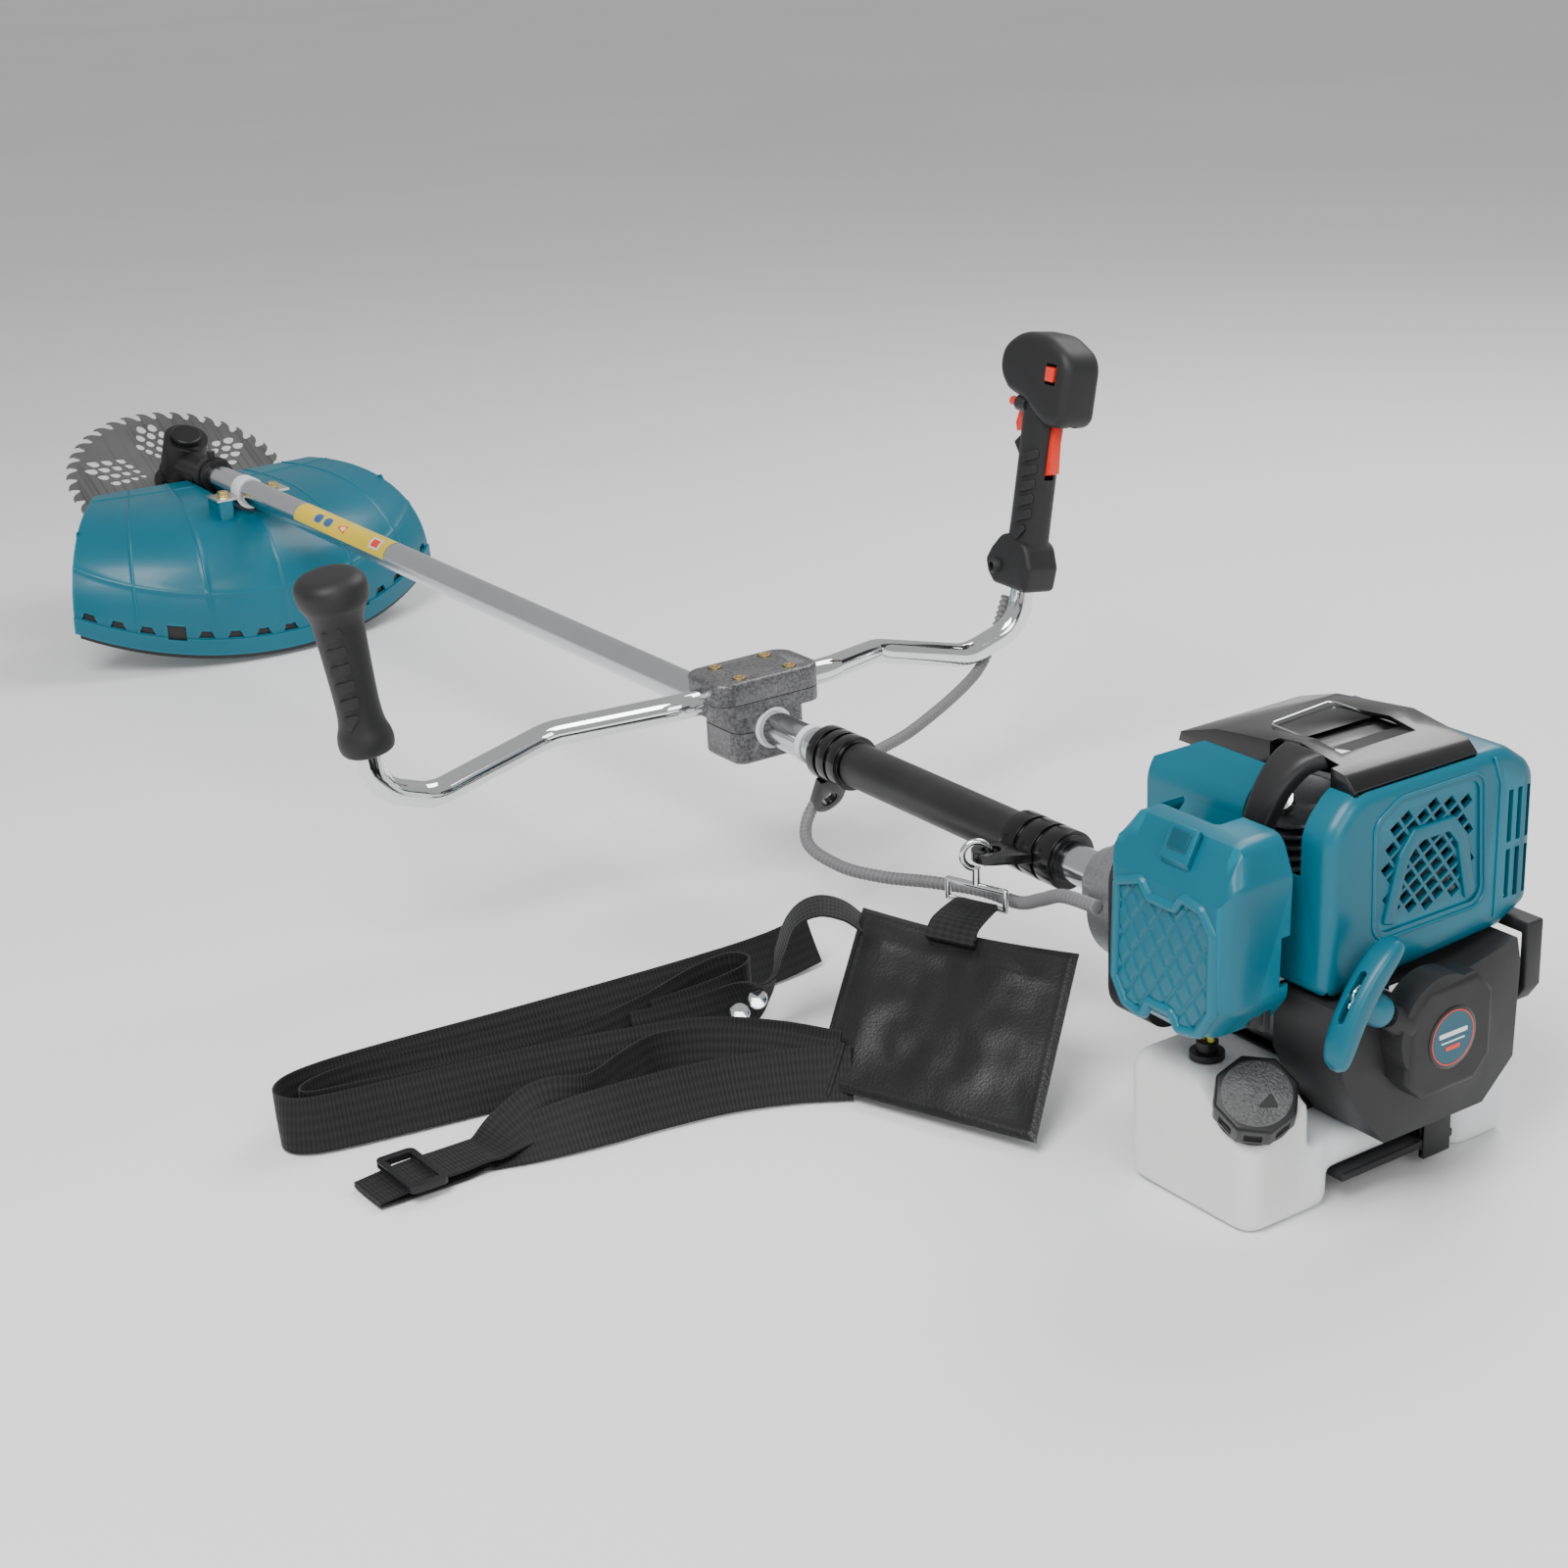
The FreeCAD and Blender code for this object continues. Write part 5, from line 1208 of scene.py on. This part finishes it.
def plug_boot():
    """The rubber boot that comes up beside the lid and folds over it, and the coil inside."""
    path = smooth_line(BOOT_PATH, 6)
    rings = []
    for i, (tangent, _, _) in enumerate(frames_along(path)):
        share = i / (len(path) - 1)
        up = tangent.cross(ACROSS).normalized()
        wide = 9 + 8 * share ** 1.5
        thick = 8 - share
        rings.append([path[i] + ACROSS * (wide * c) + up * (thick * s)
                      for c, s in (squarish(a, 0.55) for a in circle(28))])
    boot = settle(bevelled(loft("boot", rings, RUBBER), 2.5, 3, 50))
    coil = block("coil", (-130, -112.5), (-20, 20), (62, 92), 3, 2, BLACK)
    hand_over(joined("boot_and_coil", [shade(boot, 50), shade(coil)]), "frame", "rubber", "ignition")


def rope_guide():
    """The flared mouth that the rope comes out of."""
    mouth = turned_profile("rope_mouth", [(0, 1), (0, 7.0), (2, 8.2), (14, 9.5), (18, 9.5), (18, 1)],
                           HANDLE - PULL * 29, -PULL, DARK, 40)
    cut_out(mouth, [sweep("rope_way", [HANDLE - PULL * 70, HANDLE], 4.0, sides=32)])
    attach(shade(mouth, 40), "frame")


rope_guide()
soft_tank()
fuel_lines()
plug_boot()
engine_shroud()
lid_line()
filter_cover()
badge()
starter_handle()
tank_cap()


# ---------------------------------------------------------------- handles

GRIP_LIFT = 34.0
BAR_R = 10.6


def grip_place(side):
    """The frame of a grip: Z up along the bar's end, Y to the operator's left."""
    low = Vector((478, 312 * side, 2))
    direction = (Vector((476, 326 * side, 96)) - low).normalized()
    turn = Vector((0, 0, 1)).rotation_difference(direction).to_matrix().to_4x4()
    return SHAFT @ Matrix.Translation(low + direction * GRIP_LIFT) @ turn


def bar_bore(place):
    """What the bar takes out of a grip."""
    return sweep("bore", [Vector((0, 0, -5)), Vector((0, 0, 75))], BAR_R, sides=40, place=place)


def body_of_levels(name, levels, steps, power, place):
    """Skins cross-sections given as (height, x radius, y radius, x shift), eased between."""
    rings = [[(shift + rx * c, ry * s, height) for c, s in (squarish(a, power) for a in circle(64))]
             for height, rx, ry, shift in smooth_rows(levels, steps)]
    return shade(loft(name, rings, DARK, place), 50)


# A raised pad on a grip: scale of its outline, and lift.
PAD_LEVELS = ((1.02, -1.5), (1.0, 1.4), (0.97, 1.9), (0.9, 2.0), (0.6, 2.0), (0.3, 2.0), (0.03, 2.0))


def patch(name, outline, levels, lay, material, place=SHAFT):
    """A closed pad on a curved surface: levels are (scale of the outline, lift)."""
    outline = counter_clockwise(outline)
    middle = sum(outline, Vector((0, 0))) / len(outline)
    rings = [[lay(*(middle + (p - middle) * scale), lift) for p in outline] for scale, lift in levels]
    return loft(name, rings, material, place)


def grip_pads(radius_at, facing, low, pitch, place, lean):
    """Five slanting pads and a triangular one below them."""
    def lay(across, up, lift):
        radius = radius_at(up) + lift
        angle = facing + across / radius_at(up)
        return (radius * math.cos(angle), radius * math.sin(angle), up)

    shapes = []
    for k in range(5):
        z = low + 16 + pitch * k
        shapes.append([(-8, z - lean), (8, z + lean), (8, z + lean + 8.5), (-8, z - lean + 8.5)])
    shapes.append([(-8, low + 11 - lean), (8, low + 11 + lean), (-4, low - 4)])
    return [shade(patch("pad", rounded_outline(corners, 2.2, 3), PAD_LEVELS, lay, DARK, place), 30)
            for corners in shapes]


LEFT_LEVELS = [(0, 17, 17, 0), (2, 20, 20, 0), (8, 21.5, 21, 0), (15, 21, 20, 0), (24, 18, 17.4, 0),
               (40, 17, 16.4, 0), (70, 18, 17.2, 0), (96, 19.2, 18.4, 0), (108, 20.2, 19.4, -0.5),
               (117, 23.5, 22.5, -1.5), (124, 27.0, 25.8, -2), (132, 28.2, 27.0, -2), (139, 26.6, 25.4, -2),
               (143.5, 21.5, 20.5, -2), (145, 14, 13, -2), (145.4, 4, 4, -2)]


def left_grip():
    """The plain grip: flared foot, mushroom top and a row of pads."""
    place = grip_place(1)
    body = cut_out(body_of_levels("grip", LEFT_LEVELS, 5, 0.92, place), [bar_bore(place)])
    pads = grip_pads(lambda z: 17.4 + 0.022 * (z - 30), math.radians(138), 26, 14.0, place, 1.6)
    hand_over(joined("left_hand_grip", [shade(body, 50), *pads]), "frame", "dark_plastic", "left_grip")


HEAD = [(-45, 147, 12), (-46, 208, 22), (-14, 222, 40), (22, 221, 40), (45, 205, 30), (46, 182, 24),
        (32, 168, 14), (8, 163, 6), (-10, 151, 8), (-22, 146, 8)]
WAIST = [(4, 19, 17, 0), (26, 18.5, 16.5, 0), (44, 17.5, 15.5, 0), (80, 17.2, 15.2, 0), (120, 17.0, 15.4, 0),
         (150, 17.4, 16, 0), (178, 16, 15, 0)]
FOOT = [(-23, 0, 5), (22, 0, 5), (31, 8, 6), (36, 19, 7), (30, 31, 8), (17, 47, 14), (-16, 42, 14),
        (-25, 22, 9)]
NUB = [(8, 108, 2), (17, 112, 6), (27.5, 124, 2.5), (17, 134, 5), (8, 138, 2)]
BUTTON_Y = 10.2
BUTTON_Z = 159.0
BUTTON_BOSS = [(8, 1), (8, 7), (21, 7), (21.8, 6.2), (21.8, 1)]
CABLE_MOUTH = [(0, 0.1), (0, 3.6), (6, 3.6), (6, 5.4), (5, 6.4), (-6, 6.6)]


def button_room(start, place):
    line = [Vector((start, BUTTON_Y, BUTTON_Z)), Vector((60, BUTTON_Y, BUTTON_Z))]
    return sweep("button_room", line, 4.3, sides=32, place=place)


def right_grip():
    """The control handle: rounded head with a droop behind, finger nub, spurred foot and cable mouth."""
    place = grip_place(-1)
    head = pillow_slab("head", HEAD, "y", -20, 20, 12, (9, 9), DARK, 6, place)
    waist = body_of_levels("waist", WAIST, 4, 0.78, place)
    foot = pillow_slab("foot", FOOT, "y", -17.5, 17.5, 6, (5, 5), DARK, 5, place)
    nub = pillow_slab("nub", NUB, "y", -8, 8, 3, (3, 3), DARK, 4, place)
    for piece in (foot, waist):
        cut_out(piece, [bar_bore(place)])
    for piece in (head, waist):
        cut_out(piece, [block("trigger_room", (4, 40), (-5.4, 5.4), (129, 178), 1, place=place),
                        block("lockout_room", (-40, -6), (-4.9, 4.9), (98, 152), 1, place=place),
                        block("works", (-11.5, 11.5), (-7.5, 7.5), (78, 206), 1, place=place),
                        block("switch_room", (-31.5, -18.5), (6, 32), (182, 200), 1.5, place=place),
                        button_room(4, place)])
    cut_out(nub, [block("trigger_room", (4, 40), (-5.4, 5.4), (131, 178), 1, place=place)])
    boss = turned_profile("button_boss", BUTTON_BOSS, (0, BUTTON_Y, BUTTON_Z), (1, 0, 0), DARK, 36, place)
    mouth = turned_profile("cable_mouth", CABLE_MOUTH, (19, 16, 16), (0.12, 0.98, -0.1), DARK, 36, place)
    cut_out(boss, [button_room(0, place)])
    pads = grip_pads(lambda z: 17.2, math.radians(112), 46, 13.0, place, 3.4)
    pieces = [shade(piece, 45) for piece in (head, waist, foot, nub, boss, mouth)]
    whole = joined("control_handle", pieces + pads)
    hand_over(whole, "frame", "dark_plastic", "right_grip_front", "right_grip_rear")


# ---------------------------------------------------------------- hose, rope and label

CONDUIT = [(494, -312, 24), (498, -302, -8), (478, -262, -34), (416, -150, -40), (378, -66, -38),
           (356, -6, -52), (322, 27, -66), (270, 34, -68), (220, 31, -62), (165, 26, -50), (112, 22, -40),
           (66, 24, -34), (24, 38, -14), (-20, 56, 8), (-66, 66, 18)]


def throttle_conduit():
    """The corrugated hose."""
    line = resampled(smooth_line(CONDUIT, 8), 1.3)
    hose = sweep("throttle_hose", line, lambda i: 4.9 if i % 4 in (0, 1) else 3.5, HOSE, 14)
    hand_over(shade(hose, 80), "frame", "hose_grey", "throttle_conduit")


def resampled(line, step):
    """The same line with points at even distances."""
    result = [line[0]]
    left = step
    for a, b in zip(line, line[1:]):
        length = (b - a).length
        done = 0.0
        while length - done >= left:
            done += left
            result.append(a.lerp(b, done / length))
            left = step
        left -= length - done
    result.append(line[-1])
    return result


def starter_rope():
    """The rope: one end in the housing, the other in the grip."""
    line = [HANDLE + PULL * (36 * k / 24 - 34) for k in range(25)]
    rope = shade(sweep("pull_rope", line, 1.8, WHITE, 12))
    start, end = at(*(HANDLE - PULL * 33)), at(*(HANDLE - PULL * 24))
    tuple(start)
    tuple(end)
    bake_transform(rope)
    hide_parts("starter_rope")


TUBE_R = 14.0


def on_tube(across, along, lift):
    """A point of the tube's skin: across is an arc in millimetres, to the left of the top line."""
    angle = math.pi / 2 - across / TUBE_R
    return (along, (TUBE_R + lift) * math.cos(angle), (TUBE_R + lift) * math.sin(angle))


def tube_sticker(name, corners, lift, material, radius):
    """A thin closed sticker on the tube."""
    levels = ((1.0, lift - 0.12), (1.0, lift), (0.75, lift), (0.5, lift), (0.25, lift), (0.02, lift))
    return shade(patch(name, rounded_outline(corners, radius, 4), levels, on_tube, material), 60)


def tube_band(name, across, along, lift, material, steps):
    """A rectangular sticker that follows the tube."""
    verts = []
    columns, rows = steps
    for j in range(rows + 1):
        for i in range(columns + 1):
            arc = across[0] + (across[1] - across[0]) * i / columns
            verts.append(on_tube(arc, along[0] + (along[1] - along[0]) * j / rows, lift))
    return shade(mesh_from(name, verts, grid_faces(rows, columns), material), 60)


def tube_label():
    """A blank warning-yellow label with plain coloured marks."""
    stickers = [tube_band("label", (-6, 22), (1061, 1266), 0.18, YELLOW, (24, 30))]
    for along in (1214, 1192):
        square = rectangle((5, 15), (along - 8, along + 8))
        stickers.append(tube_sticker("mark", square, 0.4, LABEL_BLUE, 4.8))
    stickers.append(tube_sticker("mark", [(5, 1152), (15, 1152), (10, 1172)], 0.4, RED, 1.2))
    stickers.append(tube_sticker("mark", [(7, 1154.5), (13, 1154.5), (10, 1166)], 0.55, LABEL_WHITE, 0.8))
    stickers.append(tube_band("mark", (4, 16), (1074, 1096), 0.4, LABEL_WHITE, (12, 4)))
    stickers.append(tube_band("mark", (6, 14), (1078, 1092), 0.55, RED, (12, 4)))
    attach(joined("tube_label", stickers), "frame")


left_grip()
right_grip()
throttle_conduit()
starter_rope()
tube_label()


# ---------------------------------------------------------------- harness

PAD_TOP_LEFT = Vector((150, 98, -45))
PAD_TOP_RIGHT = Vector((-20, 42, -38))
PAD_BOTTOM_LEFT = Vector((79, 195, -126))


def bilinear(a, b, c, d, u, v):
    return a.lerp(b, u).lerp(d.lerp(c, u), v)


def hip_pad():
    """A soft leather panel: a folded seam at each edge, slow waves and pinched corners."""
    down = PAD_BOTTOM_LEFT - PAD_TOP_LEFT
    corners = (PAD_TOP_LEFT, PAD_TOP_RIGHT, PAD_TOP_RIGHT + down, PAD_BOTTOM_LEFT)
    normal = (PAD_TOP_RIGHT - PAD_TOP_LEFT).cross(down).normalized()
    if normal.z < 0:
        normal = -normal
    columns, rows = 110, 84
    verts = []
    for j in range(rows + 1):
        for i in range(columns + 1):
            u, v = i / columns, j / rows
            point = bilinear(*corners, u, v)
            seed = Vector((u * 2.3, v * 1.7, 0.3))
            wave = 5.0 * noise.noise(seed * 1.3) + 1.4 * noise.noise(seed * 4.0)
            wave += 2.2 * math.exp(-((v - 0.14 - 0.05 * u) / 0.05) ** 2) * (1 - u * 0.5)
            edge = min(u * 170, (1 - u) * 170, v * 140, (1 - v) * 140)
            puff = 2.6 * (1 - math.exp(-edge / 4.5)) + 0.7 * math.exp(-((edge - 5) / 2.0) ** 2)
            sag = 4.0 * math.sin(math.pi * u) * (1 - v) ** 2
            shift = normal * (wave * min(1.0, edge / 25) + puff) - Vector((0, 0, sag))
            verts.append(point + shift)
    pad = mesh_from("leather_pad", [above_floor(v) for v in verts], grid_faces(rows, columns), LEATHER)
    shade(off_floor(thicken(pad, 2.4, -1)), 70)
    hand_over(pad, "harness", "leather", "hip_pad")


STRAP_WIDTH = 38.0
STRAP_THICK = 1.5


def strap(name, points):
    """Webbing along a line; each point is (x, y, z, roll in degrees) in millimetres of the standing frame.

    Roll 0 lays the strap flat; 90 stands it on its edge. z is the height of its lower edge."""
    rows = smooth_rows(points, 14)
    for row in rows:
        row[2] += STRAP_WIDTH / 2 * abs(math.sin(math.radians(row[3]))) + STRAP_THICK
    line = [Vector(r[:3]) for r in rows]
    rolls = [math.radians(r[3]) for r in rows]
    verts, uvs = [], []
    run = 0.0
    across = 7
    count = len(line)
    for i in range(count):
        tangent = (line[min(i + 1, count - 1)] - line[max(i - 1, 0)]).normalized()
        flat = Vector((0, 0, 1)).cross(tangent)
        if flat.length < 0.05:
            flat = Vector((1, 0, 0))
        flat.normalize()
        up = tangent.cross(flat).normalized()
        side = flat * math.cos(rolls[i]) + up * math.sin(rolls[i])
        normal = tangent.cross(side).normalized()
        if i:
            run += (line[i] - line[i - 1]).length
        for k in range(across + 1):
            share = k / across - 0.5
            cup = 0.6 * math.cos(math.pi * share)
            verts.append(line[i] + side * (STRAP_WIDTH * share) + normal * cup)
            uvs.append((run * MM, (share + 0.5) * STRAP_WIDTH * MM))
    return ribbon(name, verts, across, uvs, STRAP_THICK)


def off_floor(obj):
    """Lifts the points of an object that would touch the floor."""
    for vertex in obj.data.vertices:
        vertex.co.z = max(vertex.co.z, 0.0004)
    return obj


def ribbon(name, verts, columns, uvs, thick):
    """A woven band of even thickness, from rows of points; its UVs run along it in metres."""
    mesh = bpy.data.meshes.new(name)
    mesh.from_pydata([v * MM for v in verts], [], grid_faces(len(verts) // (columns + 1) - 1, columns))
    layer = mesh.uv_layers.new(name="strap")
    for loop in mesh.loops:
        layer.data[loop.index].uv = uvs[loop.vertex_index]
    piece = new_object(name, mesh, WEBBING)
    return shade(off_floor(thicken(piece, thick, 0)), 60)


# The runs of the shoulder strap: (x, y, height of the lower edge, roll in degrees).
STRAP_RUNS = {
    "free_end": [(466, 66, 2, 112), (462, 110, 0, 118), (463, 184, 0, 122), (471, 307, 0, 124),
                 (478, 400, 0, 122), (478, 460, 0, 114), (470, 498, 0, 102), (450, 514, 0, 90),
                 (430, 500, 0, 76), (420, 440, 0, 64), (408, 360, 0, 60), (390, 290, 0, 60),
                 (362, 232, 2, 64), (320, 200, 4, 66), (276, 178, 4, 70)],
    "inner_layer": [(440, 300, 0, 122), (452, 380, 0, 122), (460, 450, 0, 112), (452, 492, 0, 98),
                    (438, 494, 0, 84), (428, 450, 0, 70), (414, 370, 0, 64), (412, 300, 0, 66),
                    (420, 240, 2, 72), (430, 196, 6, 80), (424, 168, 12, 88), (410, 160, 12, 92),
                    (400, 172, 10, 100), (402, 196, 6, 110), (410, 240, 2, 118)],
    "upper_run": [(270, 184, 3, 130), (292, 196, 4, 128), (318, 212, 4, 125), (346, 236, 2, 118),
                  (362, 268, 0, 108), (352, 302, 0, 104), (338, 336, 0, 110), (344, 366, 6, 124),
                  (347, 394, 6, 156), (345, 416, 6, 180), (345, 442, 6, 180), (345, 470, 6, 180),
                  (345, 503, 3, 180)],
    "lower_run": [(264, 176, 0, 128), (284, 206, 0, 127), (302, 250, 0, 124), (312, 300, 0, 122),
                  (318, 340, 0, 126), (332, 384, 0, 150), (345, 416, 0, 180), (345, 442, 0, 180),
                  (345, 470, 0, 180), (345, 503, 1, 180)],
    "pad_strap": [(350, 100, 76, 0), (358, 112, 88, 0), (369, 128, 92, 0), (377, 142, 82, 4),
                  (381, 151, 60, 8), (383, 157, 38, 20), (386, 166, 18, 50), (391, 182, 5, 90),
                  (398, 212, 0, 112), (408, 260, 0, 122)],
}
RIVET = [(-3, 0.1), (-3, 6), (0, 7.5), (1.4, 6.6), (2.4, 0.1)]


def webbing():
    """The shoulder strap as it lies: a long doubled run, the buckle run and the piece up to the pad."""
    runs = [strap(name, points) for name, points in STRAP_RUNS.items()]
    whole = shade(joined("shoulder_webbing", [*runs, strap_tab()]), 60)
    rivets = [shade(turned_profile("rivet", RIVET, spot, (-0.8, 0.3, 0.5), BRIGHT, 28, Matrix.Scale(MM, 4)))
              for spot in ((384, 172, 30), (380, 190, 26))]
    hand_over(whole, "harness", "webbing", "harness_webbing")
    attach(joined("strap_rivets", rivets), "harness")


def standing(point):
    """A point of the shaft's frame in the millimetres of the standing frame."""
    return at(*point) / MM


def strap_tab():
    """The doubled webbing tab from the ring to the pad's top edge."""
    low, high = (Vector(corner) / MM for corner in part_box("snap_hook"))
    ring = Vector(((low.x + high.x) / 2, (low.y + high.y) / 2, low.z + 3.5))
    left, right, foot = standing(PAD_TOP_LEFT), standing(PAD_TOP_RIGHT), standing(PAD_BOTTOM_LEFT)
    across = (right - left).normalized()
    down = (foot - left).normalized()
    seam = left + across * (ring - left).dot(across) + Vector((0, 0, 3))
    bends = [seam + down * 16, seam + down * 3, seam.lerp(ring, 0.35), seam.lerp(ring, 0.7), ring]
    path = smooth_line(bends, 4)
    verts, uvs = [], []
    columns = 8
    for i, point in enumerate(path):
        for k in range(columns + 1):
            verts.append(point + across * ((40 - 6 * i / (len(path) - 1)) * (k / columns - 0.5)))
            uvs.append((i * 0.0022, k / columns * 0.04))
    return ribbon("ring_tab", verts, columns, uvs, 4.0)


hip_pad()
webbing()


# ---------------------------------------------------------------- studio and camera

FLOOR_HALF = 30.0
FLOOR_Z = -0.0005
SKY_STRENGTH = 0.50
# Each light's name, place, target, width and power.
LIGHTS = (
    ("key_light", (-0.4, 1.6, 2.6), (0.7, 0.0, 0.1), 1.6, 95.0),
    ("tube_light", (0.9, -1.6, 2.0), (0.6, 0.0, 0.1), 1.4, 38.0),
    ("front_light", (-2.0, 0.6, 1.2), (0.0, 0.0, 0.2), 1.2, 20.0),
)
CAMERA_PLACE = (-1.11596, 1.13019, 0.81791)
CAMERA_TURN = (70.566, 3.111, -124.565)
CAMERA_LENS = 62.42


def studio():
    """Plain pale floor, a wide soft key from above and weak fills."""
    mesh = bpy.data.meshes.new("studio_floor")
    span = (-FLOOR_HALF, FLOOR_HALF)
    mesh.from_pydata([(x, y, FLOOR_Z) for x, y in rectangle(span, span)], [], [(0, 1, 2, 3)])
    n = Nodes("floor_white")
    n.paint(n.noise(0.8, 2.0), (0.3, (0.86, 0.86, 0.86)), (0.7, (0.90, 0.90, 0.90)))
    n.put(Roughness=0.6, Specular_IOR_Level=0.2)
    new_object("studio_floor", mesh, n.material)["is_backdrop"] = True
    world = bpy.data.worlds.new("studio")
    world.use_nodes = True
    sky = world.node_tree.nodes["Background"].inputs
    sky["Color"].default_value = (1.0, 1.0, 1.0, 1)
    sky["Strength"].default_value = SKY_STRENGTH
    bpy.context.scene.world = world
    for name, where, target, width, power in LIGHTS:
        data = bpy.data.lights.new(name, "AREA")
        data.size = width
        data.energy = power
        light = bpy.data.objects.new(name, data)
        bpy.context.scene.collection.objects.link(light)
        light.location = where
        light.rotation_euler = (Vector(target) - Vector(where)).to_track_quat("-Z", "Y").to_euler()
        light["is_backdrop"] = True


def camera():
    data = bpy.data.cameras.new("photo_camera")
    data.lens = CAMERA_LENS
    data.sensor_width = 36
    data.clip_end = 30
    view = bpy.data.objects.new("photo_camera", data)
    bpy.context.scene.collection.objects.link(view)
    view.location = CAMERA_PLACE
    view.rotation_euler = tuple(math.radians(a) for a in CAMERA_TURN)
    view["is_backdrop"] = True
    bpy.context.scene.camera = view


studio()
camera()

boxes = {"cad": CAD_BOX, "visual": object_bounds()}
{name: [list(corner) for corner in box] for name, box in boxes.items()}
